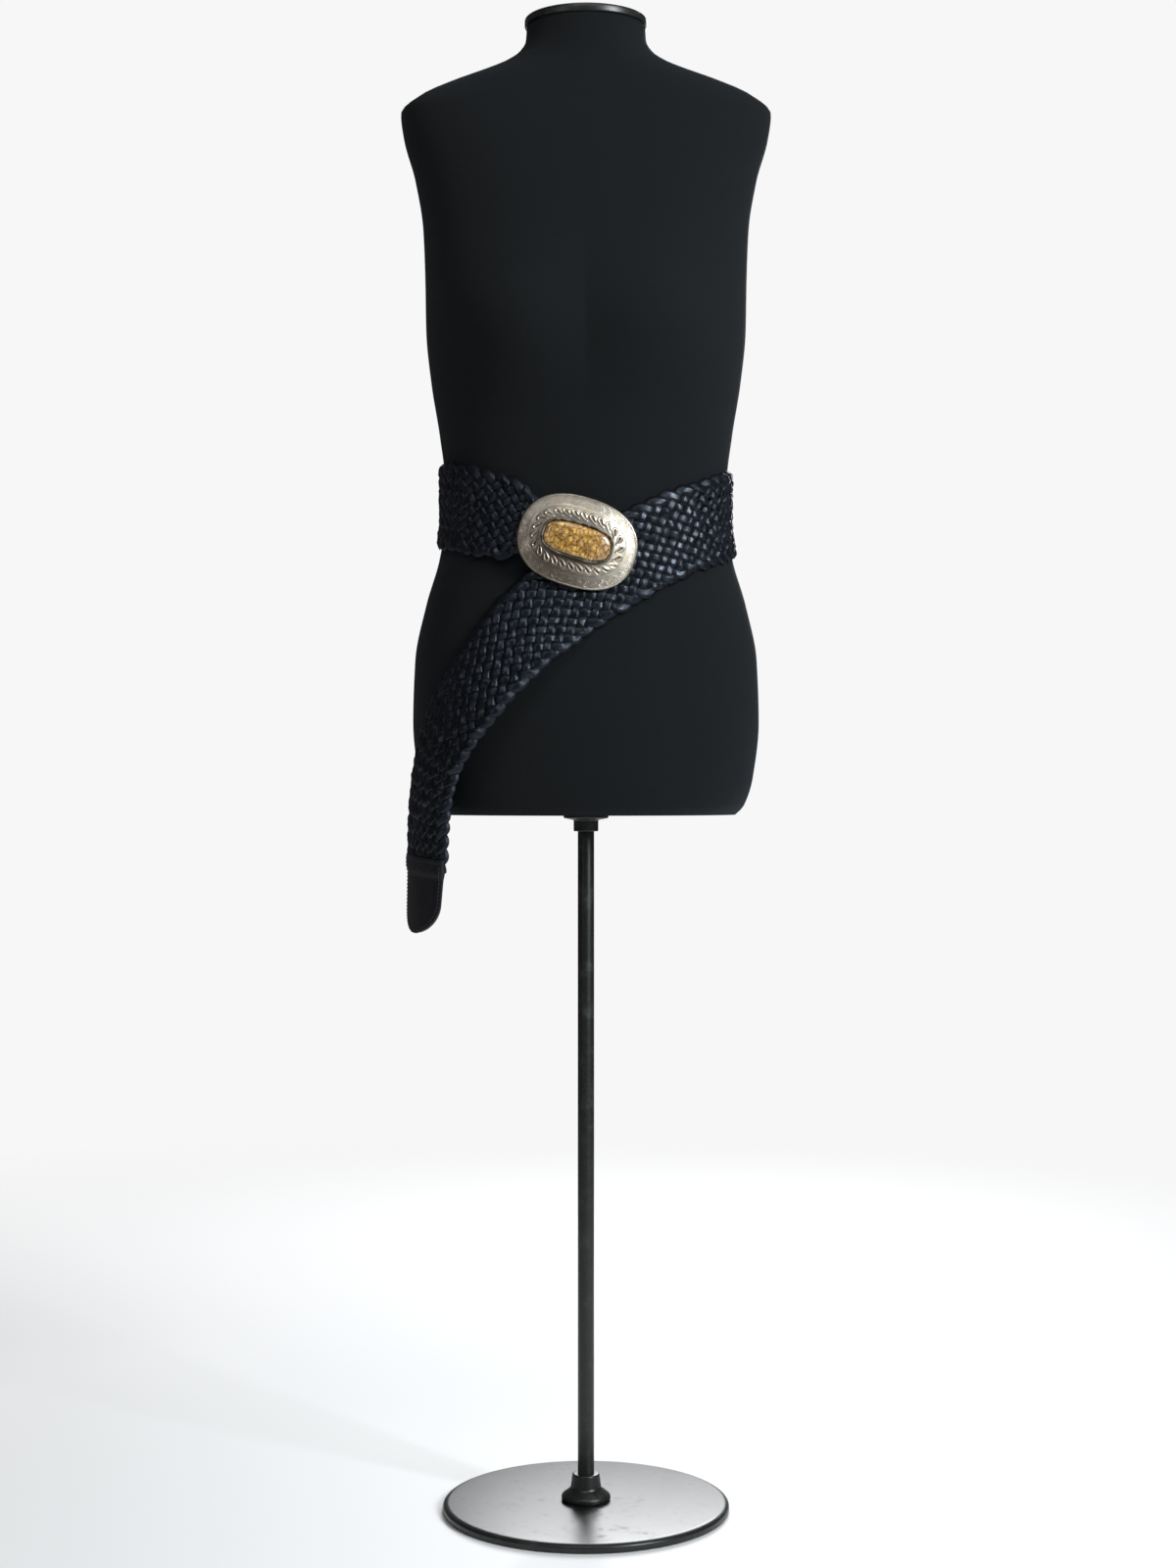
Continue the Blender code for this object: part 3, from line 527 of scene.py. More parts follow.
def silver_look():
    """Aged silver plate with an engraved brim, dark in its recesses, with painted shade towards its lower
    left.
    """
    g = Graph("engraved_silver")
    place = g.place()
    cut = brim_engraving(g, place)
    stipple = g.cells(place, 1500.0).outputs["Distance"]
    scratches = g.noise(g.stretch(place, (900.0, 900.0, 5200.0)), 1.0, 4.0, 0.6)
    tarnish = g.span(g.noise(place, 120.0, 5.0, 0.62), 0.35, 0.75)
    grime = g.span(g.noise(place, 900.0, 4.0, 0.65), 0.46, 0.64, 0.0, 0.30)
    dark = g.most(g.times(cut, 0.88), g.most(g.attribute("recess"), grime))
    # Painted shade: the plate's colour darkens towards its lower left, broken up by the tarnish noise.
    low_left = g.math("ADD", g.attribute("round_x"), g.attribute("round_y"))
    lower_left_painted_shade = g.times(g.span(low_left, 0.2, -1.4), g.span(tarnish, 0.0, 1.0, 0.68, 0.98))
    silver = g.mix(tarnish, (0.840, 0.780, 0.670), (0.580, 0.510, 0.400))
    silver_with_lower_left_shade = g.mix(lower_left_painted_shade, silver, (0.255, 0.205, 0.160))
    rubbed = g.bump(scratches, 0.035 * MM, 0.5, g.bump(stipple, 0.05 * MM, 0.35))
    g.set(
        Base_Color=g.mix(dark, silver_with_lower_left_shade, (0.070, 0.052, 0.034)),
        Metallic=1.0,
        Roughness=g.math("ADD", g.span(tarnish, 0.0, 1.0, 0.30, 0.42), g.times(dark, 0.18)),
        Normal=g.bump(g.times(cut, -1.0), 0.11 * MM, 0.9, rubbed),
    )
    return g.material


def dark_silver_look():
    """Silver left dark in a rope's hollows and rubbed bright on its crowns."""
    g = Graph("oxidised_silver")
    rubbed = g.attribute("crown")
    blotch = g.noise(g.place(), 160.0, 3.0)
    bright = g.times(g.span(rubbed, 0.72, 1.0), g.span(blotch, 0.40, 0.66, 0.12, 0.85))
    g.set(
        Base_Color=g.mix(bright, (0.034, 0.025, 0.018), (0.270, 0.235, 0.185)),
        Metallic=1.0,
        Roughness=g.span(rubbed, 0.4, 1.0, 0.55, 0.36),
        Normal=g.bump(blotch, 0.04 * MM, 0.5),
    )
    return g.material


def wire_look():
    """Plain silver for the wire and the stud behind the plate."""
    g = Graph("plain_silver")
    place = g.place()
    stain = g.noise(place, 240.0, 4.0, 0.6)
    g.set(
        Base_Color=g.mix(stain, (0.68, 0.64, 0.57), (0.30, 0.27, 0.22)),
        Metallic=1.0,
        Roughness=g.span(stain, 0.2, 0.8, 0.26, 0.46),
        Normal=g.bump(g.noise(place, 1400.0), 0.03 * MM, 0.5),
    )
    return g.material


FLAKE_SCALE = 262.0
FLAKE_STRETCH = (1.0, 1.0, 0.72)
FLAKE_WANDER = 5.0 * MM


def stone_look():
    """A polished amber-brown stone: packed flakes with dark joints, clear and glossy over them, paler and
    pinker towards its right end as a painted reflection.
    """
    g = Graph("amber_stone")
    place = g.place()
    wander = g.add("TexNoise", {"Vector": place, "Scale": 260.0, "Detail": 4.0}).outputs["Color"]
    shifted = g.add("VectorMath", operation="MULTIPLY_ADD")
    for socket, value in zip(shifted.inputs, (wander, (FLAKE_WANDER,) * 3, place)):
        g.feed(socket, value)
    moved = g.stretch(shifted.outputs[0], FLAKE_STRETCH)
    flakes = g.cells(moved, FLAKE_SCALE)
    joints = g.cells(moved, FLAKE_SCALE, "DISTANCE_TO_EDGE").outputs["Distance"]
    chips = g.add("SeparateColor", {"Color": flakes.outputs["Color"]}).outputs
    golden = g.mix(chips["Red"], (0.500, 0.260, 0.052), (0.940, 0.570, 0.175))
    pinkish = g.mix(chips["Red"], (0.500, 0.320, 0.200), (0.900, 0.670, 0.480))
    # Painted reflection: the flakes turn pale and pinkish towards the stone's right end; the pale chips
    # elsewhere are the stone's own.
    right_end_painted_reflection = g.span(g.attribute("length_share"), 0.35, 1.0, 0.0, 0.70)
    pale = g.most(right_end_painted_reflection, g.span(chips["Green"], 0.74, 0.90, 0.0, 0.35))
    lit = g.span(flakes.outputs["Distance"], 0.12, 0.72, 1.0, 0.52)
    shade = g.mix(lit, (0.0, 0.0, 0.0), (1.0, 0.97, 0.88))
    flake = g.mix(1.0, g.mix(pale, golden, pinkish), shade, "MULTIPLY")
    veil = g.span(g.noise(place, 45.0, 2.0), 0.42, 0.62, 0.0, 0.35)
    veiled = g.mix(veil, flake, (0.400, 0.215, 0.040))
    specks = g.span(g.noise(place, 560.0, 2.0), 0.46, 0.60, 0.18, 1.0)
    g.set(
        Base_Color=g.mix(g.times(g.span(joints, 0.22, 0.02), specks), veiled, (0.085, 0.040, 0.005)),
        Roughness=0.30,
        Specular_IOR_Level=0.5,
        Coat_Weight=1.0,
        Coat_Roughness=0.11,
        Normal=g.bump(g.span(joints, 0.0, 0.10), 0.03 * MM, 0.2),
    )
    return g.material


WALES_ROUND_FORM = 720
COURSE_SPACING = 1.05 * MM


def jersey_look():
    """Matte charcoal jersey: fine knit columns of small V stitches, a little uneven in tone."""
    g = Graph("charcoal_jersey")
    place = g.place()
    axes = g.add("SeparateXYZ", {"Vector": place}).outputs
    turn = g.math("ARCTAN2", axes["X"], g.times(axes["Y"], -1.0))
    wales = g.times(turn, WALES_ROUND_FORM / (2 * math.pi))
    in_wale = g.math("ABSOLUTE", g.less(g.math("FRACT", wales), 0.5))
    slanted = g.math("MULTIPLY_ADD", in_wale, COURSE_SPACING, axes["Z"])
    course = g.math("SINE", g.times(slanted, 2 * math.pi / COURSE_SPACING))
    stitch = g.less(g.times(course, 0.5), g.span(in_wale, 0.34, 0.50))
    fuzz = g.noise(place, 2300.0, 2.0)
    lit = g.math("MULTIPLY_ADD", g.span(stitch, -1.0, 0.5), 0.55, g.times(fuzz, 0.45))
    dim = g.mix(g.noise(place, 9.0, 3.0), (0.0028, 0.0036, 0.0042), (0.0042, 0.0050, 0.0057))
    g.set(
        Base_Color=g.mix(lit, dim, (0.0088, 0.0105, 0.0118)),
        Roughness=0.92,
        Specular_IOR_Level=0.14,
        Sheen_Weight=0.05,
        Sheen_Roughness=0.5,
        Sheen_Tint=(0.75, 0.85, 1.0),
        Normal=g.bump(stitch, 0.16 * MM, 0.7, g.bump(fuzz, 0.10 * MM, 0.5)),
    )
    return g.material


def paint_look():
    """Satin black paint on steel, with a fine orange-peel surface and faint dust."""
    g = Graph("satin_black_paint")
    place = g.place()
    peel = g.noise(place, 520.0, 2.0)
    dust = g.span(g.noise(place, 60.0, 6.0, 0.7), 0.45, 0.80)
    g.set(
        Base_Color=g.mix(dust, (0.0085, 0.0100, 0.0090), (0.0300, 0.0330, 0.0300)),
        Roughness=g.span(dust, 0.0, 1.0, 0.34, 0.52),
        Specular_IOR_Level=0.5,
        Normal=g.bump(peel, 0.05 * MM, 0.35),
    )
    return g.material


def quads(rows, sides, closed_rows=False, closed_sides=True):
    """The faces of a grid of points, row by row."""
    row = np.arange(rows if closed_rows else rows - 1)[:, None]
    side = np.arange(sides if closed_sides else sides - 1)[None, :]
    ahead, beside = (row + 1) % rows, (side + 1) % sides
    corners = (row * sides + side, row * sides + beside, ahead * sides + beside, ahead * sides + side)
    return np.stack(corners, axis=-1).reshape(-1, 4)


def piece(name, points, faces, look, slot, attributes=None, sharp_angle=None):
    """A shown piece that rides on the part, from points and faces, facing outwards.
    attributes are named values, one for each point."""
    points = np.asarray(points, float).reshape(-1, 3)
    mesh = bpy.data.meshes.new(name)
    mesh.from_pydata(points.tolist(), [], [list(map(int, face)) for face in faces])
    work = bmesh.new()
    work.from_mesh(mesh)
    bmesh.ops.recalc_face_normals(work, faces=work.faces)
    work.to_mesh(mesh)
    work.free()
    mesh.shade_smooth()
    if sharp_angle is not None:
        mesh.set_sharp_from_angle(angle=math.radians(sharp_angle))
    for label, values in (attributes or {}).items():
        layer = mesh.attributes.new(label, "FLOAT", "POINT")
        layer.data.foreach_set("value", np.asarray(values, np.float32).ravel())
    mesh.materials.append(look)
    made = bpy.data.objects.new(name, mesh)
    bpy.context.scene.collection.objects.link(made)
    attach(made, "root")
    return made


def filled_grid(rows):
    """Points and faces of a solid through rows of points, with its first and last rows filled in."""
    count, sides = len(rows), len(rows[0])
    faces = [tuple(face) for face in quads(count, sides)]
    faces.append(tuple(range(sides))[::-1])
    faces.append(tuple(range((count - 1) * sides, count * sides)))
    return np.concatenate(rows), faces


def joined(solids):
    """The points and faces of several solids, as those of one."""
    points, faces, start = [], [], 0
    for some, some_faces in solids:
        points.append(some)
        faces += [tuple(start + corner for corner in face) for face in some_faces]
        start += len(some)
    return np.concatenate(points), faces


def tube_rows(centre, side, up, radius, sides):
    """A ring of points round each point of a line."""
    turn = angles(sides)[:, None]
    return centre[:, None] + radius * (np.cos(turn) * side[:, None] + np.sin(turn) * up[:, None])


def turning_keys():
    """-1 under, 1 over or 0 at an edge, for each whole step of a strand's way across and back."""
    there = [-((-1.0) ** step) for step in range(1, STRANDS)]
    back = [(-1.0) ** step for step in range(STRANDS + 1, 2 * STRANDS)]
    return np.array([0.0, *there, 0.0, *back, 0.0])


def strand_path(strap, strand, rng):
    """One strand's centre line as (along, across, out), with its width, roll, tone and crown share."""
    steps = np.linspace(0, strap.crossings, strap.crossings * SEGMENTS_PER_CROSSING + 1)
    phase = (steps + 2 * strand) % (2 * STRANDS)
    to_turn = np.minimum(phase % STRANDS, STRANDS - phase % STRANDS)
    early = (to_turn**2 + TURN_ROUNDING**2) / (2 * TURN_ROUNDING)
    from_edge = np.where(to_turn < TURN_ROUNDING, early, to_turn)
    near_start = (phase < STRANDS / 2) | (phase > 1.5 * STRANDS)
    place = np.where(near_start, from_edge, STRANDS - from_edge)

    keys = turning_keys()
    whole = np.floor(phase).astype(int)
    ease = 0.5 - 0.5 * np.cos(np.pi * (phase - whole))
    swing = keys[whole] + (keys[whole + 1] - keys[whole]) * ease
    swing = np.sign(swing) * np.abs(swing) ** STRAND_FLATNESS

    knots = np.arange(strap.crossings + 1)
    uneven = rng.normal(0.0, 1.0, (4, len(knots)))
    side, height, roll, width = (np.interp(steps, knots, values) for values in uneven)
    tone = rng.uniform(0.0, 1.0, len(knots))[np.rint(steps).astype(int)]
    at_turn = np.exp(-((to_turn / TURN_REACH) ** 2))
    along = steps * strap.length / strap.crossings
    half = strap.read(strap.width, along) / 2
    across = (2 * place / STRANDS - 1) * (1 - EDGE_INSET / half * (1 - at_turn))
    across = across + side * JITTER_SIDE / half
    across = across * (1 - GATHER * soft_step(GATHER_CROSSINGS, 0.0, steps))
    into_tip = soft_step(strap.crossings - TIP_GATHER_CROSSINGS, strap.crossings, steps)
    across = across * (1 - TIP_GATHER * into_tip)
    out = STRAP_MIDDLE + swing * STRAND_SWING + height * JITTER_HEIGHT
    rolled = np.where(near_start, -1.0, 1.0) * TURN_ROLL * at_turn + roll * JITTER_ROLL
    wide = STRAND_WIDTH * half / (ROUTE[-1][2] / 2)
    wide = wide * (1 + TURN_WIDENING * at_turn) * (1 + width * JITTER_WIDTH)
    return along, across, out, wide, rolled, tone, np.clip(swing, 0, 1)


def strand_rows(strap, strand, rng):
    """The strand's cross-sections as rows of points, its tone and crown attributes, length and width."""
    along, across, out, wide, rolled, tone, crown = strand_path(strap, strand, rng)
    centre = strap.point(along, across, out)
    normal = unit(strap.point(along, across, out + MM) - centre)
    tangent = unit(np.gradient(centre, axis=0))
    side = unit(np.cross(tangent, normal))
    up = np.cross(side, tangent)
    c, s = np.cos(rolled)[:, None], np.sin(rolled)[:, None]
    side, up = side * c - up * s, up * c + side * s
    sideways, upwards, shine = (
        column(STRAND_HALF, STRAND_HALF_COLUMNS, name) for name in STRAND_HALF_COLUMNS
    )
    sideways = np.concatenate([-sideways, sideways[::-1]])
    upwards, shine = (np.concatenate([half, half[::-1]]) for half in (upwards, shine))
    rows = (
        centre[:, None]
        + side[:, None] * (wide[:, None] / 2 * sideways)[..., None]
        + up[:, None] * (STRAND_RISE * upwards)[None, :, None]
    )
    flat_length = float(np.linalg.norm(np.diff(centre, axis=0), axis=1).sum())
    # The crown share lightens the leather's colour on crowns and leaves painted shade in dips and at
    # edges.
    crowns = (crown[:, None] * shine[None, :]).ravel()
    return rows, np.repeat(tone, len(sideways)), crowns, flat_length, float(wide.mean())


def build_plait(strap, look):
    """The plait's strands, in two pieces: every other strand in each."""
    rng = np.random.default_rng(SEED)
    strands = [strand_rows(strap, strand, rng) for strand in range(STRANDS)]
    for name, chosen in (("plait_strands_even", strands[0::2]), ("plait_strands_odd", strands[1::2])):
        rows, tones, crowns, lengths, widths = zip(*chosen)
        points, faces = joined(filled_grid(one) for one in rows)
        attributes = {"tone": np.concatenate(tones), "crown": np.concatenate(crowns)}
        strip = piece(name, points, faces, look, "leather", attributes)
    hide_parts("strap")


# The leather tip.
TAB_OVERLAP = 11 * MM
TAB_LENGTH = 62 * MM
TAB_EDGE_INSET = 1.5 * MM
TAB_ROUND_FROM = 0.5
TAB_TIP_SHARE = 0.17
TAB_ROWS = 64
TAB_COLUMNS = 40
TAB_ROW_CROWDING = 1.6  # the power that crowds the rows towards the rounded end
TAB_EDGE = 1.1 * MM
TAB_CLOSING = 9 * MM  # beyond the plait's end, until it has closed to two plies
TAB_FACES = ((5.9 * MM, 4.3 * MM), (-1.4 * MM, 0.5 * MM))  # outer, inner: over the plait, past it
STITCH_INSET = 3.2 * MM
STITCH_PITCH = 3.6 * MM
STITCH_LENGTH = 2.7 * MM
STITCH_RADIUS = 0.42 * MM
STITCH_ARCH = 0.45 * MM
STITCH_DIP = 0.30 * MM
STITCH_ROWS = 7
STITCH_SIDES = 6


def tab_reach(distance):
    """Half width of the leather tip, as a share of the strap's, this far beyond the plait's end."""
    into_round = np.clip((distance / TAB_LENGTH - TAB_ROUND_FROM) / (1 - TAB_ROUND_FROM), 0, 1)
    return np.maximum(np.sqrt(1 - into_round**2), TAB_TIP_SHARE)


def tab_faces_out(distance):
    """(outer, inner) heights of the tip: it takes in the plait's end, then closes to two plies."""
    closing = soft_step(0.0, TAB_CLOSING, distance)
    return tuple(over + (past - over) * closing for over, past in TAB_FACES)


def build_tip(strap, look, thread):
    """The two-ply leather tip sewn over the plait's free end, and its stitches."""
    half = float(strap.width[-1]) / 2
    length = TAB_OVERLAP + TAB_LENGTH
    across = np.sin(np.linspace(-1, 1, TAB_COLUMNS) * math.pi / 2)
    rows = []
    for distance in length * (1 - np.linspace(1, 0, TAB_ROWS) ** TAB_ROW_CROWDING) - TAB_OVERLAP:
        reach = float(tab_reach(distance)) * (1 - TAB_EDGE_INSET / half)
        outer, inner = tab_faces_out(distance)
        middle, thick = (outer + inner) / 2, (outer - inner) / 2
        rounding = (1 - np.abs(across) ** (reach * half / TAB_EDGE)) ** 0.5
        top, low = (
            strap.point(strap.length + distance, across * reach, middle + way * thick * rounding)
            for way in (1, -1)
        )
        rows.append(np.concatenate([top, low[-2:0:-1]]))
    tip = piece("leather_tip", *filled_grid(rows), look, "leather", sharp_angle=70)
    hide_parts("end_tab")
    stitches = joined(stitch(strap, start, end) for start, end in tip_seam(half))
    piece("tip_stitches", *stitches, thread, "leather")


def tip_seam(half):
    """The start and end of each stitch in the seam round the tip, as (distance, metres across)."""
    fine = np.linspace(-TAB_OVERLAP + STITCH_INSET, TAB_LENGTH - STITCH_INSET, 160)
    side = tab_reach(fine + STITCH_INSET / 2) * half - TAB_EDGE_INSET - STITCH_INSET
    over = np.linspace(-1, 1, 40) * side[0]
    crossing = np.stack([np.full(len(over), fine[0]), over], axis=-1)
    upper, lower = (np.stack([fine, edge], axis=-1) for edge in (side, -side))
    line = np.concatenate([crossing, upper[1:], lower[::-1]])
    gone = gone_along(line)
    starts = np.arange(0, gone[-1] - STITCH_LENGTH, STITCH_PITCH)
    ends = np.stack([starts, starts + STITCH_LENGTH], axis=-1)
    return np.stack([np.interp(ends, gone, line[:, axis]) for axis in (0, 1)], axis=-1)


def stitch(strap, start, end):
    """One stitch: a short thread that dips into the leather at both ends."""
    share = np.linspace(0, 1, STITCH_ROWS)
    distance, aside = (first + (last - first) * share for first, last in zip(start, end))
    outer, _ = tab_faces_out(distance)
    out = outer + np.sin(share * math.pi) * STITCH_ARCH - STITCH_DIP
    across = aside / (float(strap.width[-1]) / 2)
    centre, above = (strap.point(strap.length + distance, across, out + more) for more in (0.0, MM))
    normal = unit(above - centre)
    side = unit(np.cross(unit(np.gradient(centre, axis=0)), normal))
    return filled_grid(tube_rows(centre, side, normal, STITCH_RADIUS, STITCH_SIDES))


# The ring of stamped leaves round the stone. Each is a raised hairpin that leans along the ring.
STAMPS = 26
STAMP_RING = (39.8 * MM, 24.0 * MM, 2.55)
STAMP_LEAN = math.radians(46.0)  # from the ring's own direction to the leaf's
STAMP_STEM = 8.2 * MM
STAMP_BEND = 0.55  # radians that the stem bends through on its way to the head
STAMP_HEAD_RADIUS = 1.95 * MM
STAMP_RETURN = 3.8 * MM
STAMP_SPACING = 0.22 * MM
STAMP_HALF_BAND = 5.2 * MM  # of the sunk ground that the leaves stand on
STAMP_BAND_FADE = 1.4 * MM
STAMP_BAND_DEPTH = 0.12 * MM
STAMP_BAND_DARKNESS = 0.44
STAMP_RIDGE = (0.50 * MM, 0.85 * MM)  # half width of the rib at its start and at the head
STAMP_RISE = (0.40 * MM, 0.95 * MM)
STAMP_RIDGE_POWER = 2.6
STAMP_SLIT = 1.05 * MM
STAMP_SLIT_DEPTH = 0.30 * MM
STAMP_SLIT_LENGTH = STAMP_STEM * 0.62
STAMP_SLIT_POINTS = 18
STAMP_UNEVEN_PLACE = 0.22 * MM
STAMP_UNEVEN_RISE = 0.14
STAMP_WORN_TURN = math.radians(185.0)
STAMP_WORN_SPREAD = math.radians(55.0)
STAMP_WORN = 0.30
RING_POINTS = 900

# The plate's rings lie at shares of the way from its middle to its rim.
PLATE_SIDES = 760
PLATE_RINGS = 112
PLATE_HOLE = 0.06
PLATE_FINE_FROM = 0.36
PLATE_BACK_RINGS = 9
PLATE_BACK_SHARES = (0.985, 0.20)
RIM_FROM = 0.955
RIM_RINGS = 12
RIM_TOP = 0.96
RIM_TURN_FROM = 0.965
RIM_TURN_POWER = 2.2
RIM_ROLL = 0.30 * MM
RIM_ROLL_AT = 0.970
RIM_ROLL_SPREAD = 0.014
NEAR_STONE = (0.66, 0.52)
NEAR_STONE_DARKNESS = 0.35


def leaf_lines():
    """One stamped leaf about its own middle, as (along, outward) points: its raised rib, up the
    stem, round the head and part of the way back, the rib's strength there, and its dark slit."""
    lean = STAMP_LEAN
    lengths = (STAMP_STEM, math.pi * STAMP_HEAD_RADIUS, STAMP_RETURN)
    stem, head, back = (int(length / STAMP_SPACING) for length in lengths)
    heading = np.concatenate([
        np.linspace(lean - STAMP_BEND, lean, stem),
        np.linspace(lean, lean + math.pi, head),
        np.linspace(lean + math.pi, lean + math.pi + STAMP_BEND / 2, back),
    ])
    rib = np.cumsum(np.stack([np.cos(heading), np.sin(heading)], axis=-1), axis=0) * STAMP_SPACING
    strength = np.concatenate([np.linspace(0, 1, stem), np.ones(head), np.linspace(1, 0.3, back)])
    inwards = np.array([-math.sin(lean), math.cos(lean)])
    backwards = -np.array([math.cos(lean), math.sin(lean)])
    eye = rib[stem - 1] + STAMP_HEAD_RADIUS * inwards
    slit = eye + np.linspace(0, STAMP_SLIT_LENGTH, STAMP_SLIT_POINTS)[:, None] * backwards
    middle = (rib.min(axis=0) + rib.max(axis=0)) / 2
    return rib - middle, strength, slit - middle


def ring_place(x, y, *outline):
    """Where flat points lie by an oval ring: (metres along it, metres outwards from it, its length)."""
    ring = np.stack(oval(*outline, RING_POINTS), axis=-1)
    gone = gone_along(np.concatenate([ring, ring[:1]]))
    along, outward = np.empty(x.shape), np.empty(x.shape)
    for row in range(len(x)):
        off = np.stack([x[row], y[row]], axis=-1)[:, None] - ring[None]
        distance = np.linalg.norm(off, axis=-1)
        nearest = distance.argmin(axis=1)
        way = np.where(oval_share(x[row], y[row], *outline) < 1, -1.0, 1.0)
        along[row] = gone[nearest]
        outward[row] = way * distance[np.arange(len(nearest)), nearest]
    return along, outward, gone[-1]


def stamp_relief(x, y):
    """(height, recess) of the stamped ring over the plain plate at flat points."""
    along, outward, round_it = ring_place(x, y, *STAMP_RING)
    pitch = round_it / STAMPS
    rib, strength, slit = leaf_lines()
    rng = np.random.default_rng(SEED)
    uneven = rng.normal(0.0, 1.0, (3, STAMPS))
    turn = np.arctan2(y / PLATE_OVAL[1], x / PLATE_OVAL[0]) % (2 * math.pi)
    worn = STAMP_WORN * np.exp(-(((turn - STAMP_WORN_TURN) / STAMP_WORN_SPREAD) ** 2))
    ridge, rise, groove = (np.zeros(x.shape) for _ in range(3))
    in_cell = along % pitch - pitch / 2
    for neighbour in (-1, 0, 1):
        stamp = (np.floor(along / pitch).astype(int) + neighbour) % STAMPS
        here = in_cell - neighbour * pitch - uneven[0][stamp] * STAMP_UNEVEN_PLACE
        off = outward - uneven[1][stamp] * STAMP_UNEVEN_PLACE
        struck = (1 + uneven[2][stamp] * STAMP_UNEVEN_RISE) * (1 - worn)
        for point, share in zip(rib, strength):
            wide, tall = (low + (high - low) * share for low, high in (STAMP_RIDGE, STAMP_RISE))
            raised = np.exp(-((np.hypot(here - point[0], off - point[1]) / wide) ** STAMP_RIDGE_POWER))
            ridge = np.maximum(ridge, raised)
            rise = np.maximum(rise, tall * raised * struck)
        for point in slit:
            sunk = np.exp(-((np.hypot(here - point[0], off - point[1]) / STAMP_SLIT) ** 2))
            groove = np.maximum(groove, sunk * struck)
    band = soft_step(STAMP_HALF_BAND + STAMP_BAND_FADE, STAMP_HALF_BAND, np.abs(outward))
    groove = groove * np.clip(1 - ridge * 1.3, 0, 1)
    height = rise - STAMP_SLIT_DEPTH * groove - STAMP_BAND_DEPTH * band * (1 - ridge)
    recess = np.maximum(band * np.clip(1 - ridge * 1.6, 0, 1) * STAMP_BAND_DARKNESS, groove)
    return height, recess


def build_plate(place, look):
    """The stamped and engraved oval plate, dense enough for its raised ring and rolled rim."""
    coarse = np.linspace(PLATE_HOLE, PLATE_FINE_FROM, 4)[:-1]
    fine = np.linspace(PLATE_FINE_FROM, RIM_FROM, PLATE_RINGS - RIM_RINGS)
    rim = RIM_FROM + (1 - RIM_FROM) * np.sin(np.linspace(0, math.pi / 2, RIM_RINGS + 1)[1:])
    shares = np.concatenate([coarse, fine, rim])
    unit_x, unit_y = oval(*PLATE_OVAL, PLATE_SIDES)
    x, y = shares[:, None] * unit_x, shares[:, None] * unit_y
    relief, recess = stamp_relief(x, y)
    roll = RIM_ROLL * np.exp(-(((shares - RIM_ROLL_AT) / RIM_ROLL_SPREAD) ** 2))
    edge = 1 - np.clip((shares - RIM_TURN_FROM) / (1 - RIM_TURN_FROM), 0, 1) ** RIM_TURN_POWER
    rise = plate_rise(np.minimum(shares, RIM_TOP)) * np.maximum(edge, 0.0) + roll * (shares < 0.999)
    front = bent(place, x, y, rise[:, None] + relief)
    back_shares = np.linspace(*PLATE_BACK_SHARES, PLATE_BACK_RINGS)
    back_x, back_y = back_shares[:, None] * unit_x, back_shares[:, None] * unit_y
    back = bent(place, back_x, back_y, (plate_rise(back_shares) - PLATE_THICKNESS)[:, None])
    near_stone = soft_step(*NEAR_STONE, shares)[:, None] * NEAR_STONE_DARKNESS
    along, outward, round_it = ring_place(x, y, *PLATE_OVAL)
    turn = along * 2 * math.pi / round_it
    on_front = {
        "recess": np.maximum(recess, near_stone), "rim_inset": -outward,
        "round_x": np.cos(turn), "round_y": np.sin(turn),
    }
    behind = np.zeros(back_x.size)
    attributes = {name: np.concatenate([values.ravel(), behind]) for name, values in on_front.items()}
    points, faces = filled_grid(list(front) + list(back))
    made = piece("stamped_plate", points, faces, look, "silver", attributes)
    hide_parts("buckle_plate")


ROPE_STRANDS = 2
ROPE_TWISTS = 58
ROPE_STRAND_RADIUS = 0.80 * MM
ROPE_COIL_RADIUS = 0.72 * MM
ROPE_OUTSET = 1.5 * MM
ROPE_STEPS = 1160
ROPE_SIDES = 8
CUP_OUTSET = 0.15 * MM
CUP_THICKNESS = 0.45 * MM
CUP_RISE = 1.7 * MM
CUP_SUNK = 0.1 * MM
CUP_SIDES = 240
CUP_COLUMNS = ("out", "up", "crown")
CUP_SECTION = ((0.0, 0.0, 0.2), (0.0, 1.0, 0.7), (0.5, 1.12, 1.0), (1.0, 1.0, 0.7), (1.0, 0.0, 0.1))


def stone_outline(outset, sides, share=1.0):
    """The stone's outline, set outwards, in the buckle's x and y."""
    half_length, half_height, squareness = STONE_OVAL
    return oval(half_length * share + outset, half_height * share + outset, squareness, sides)


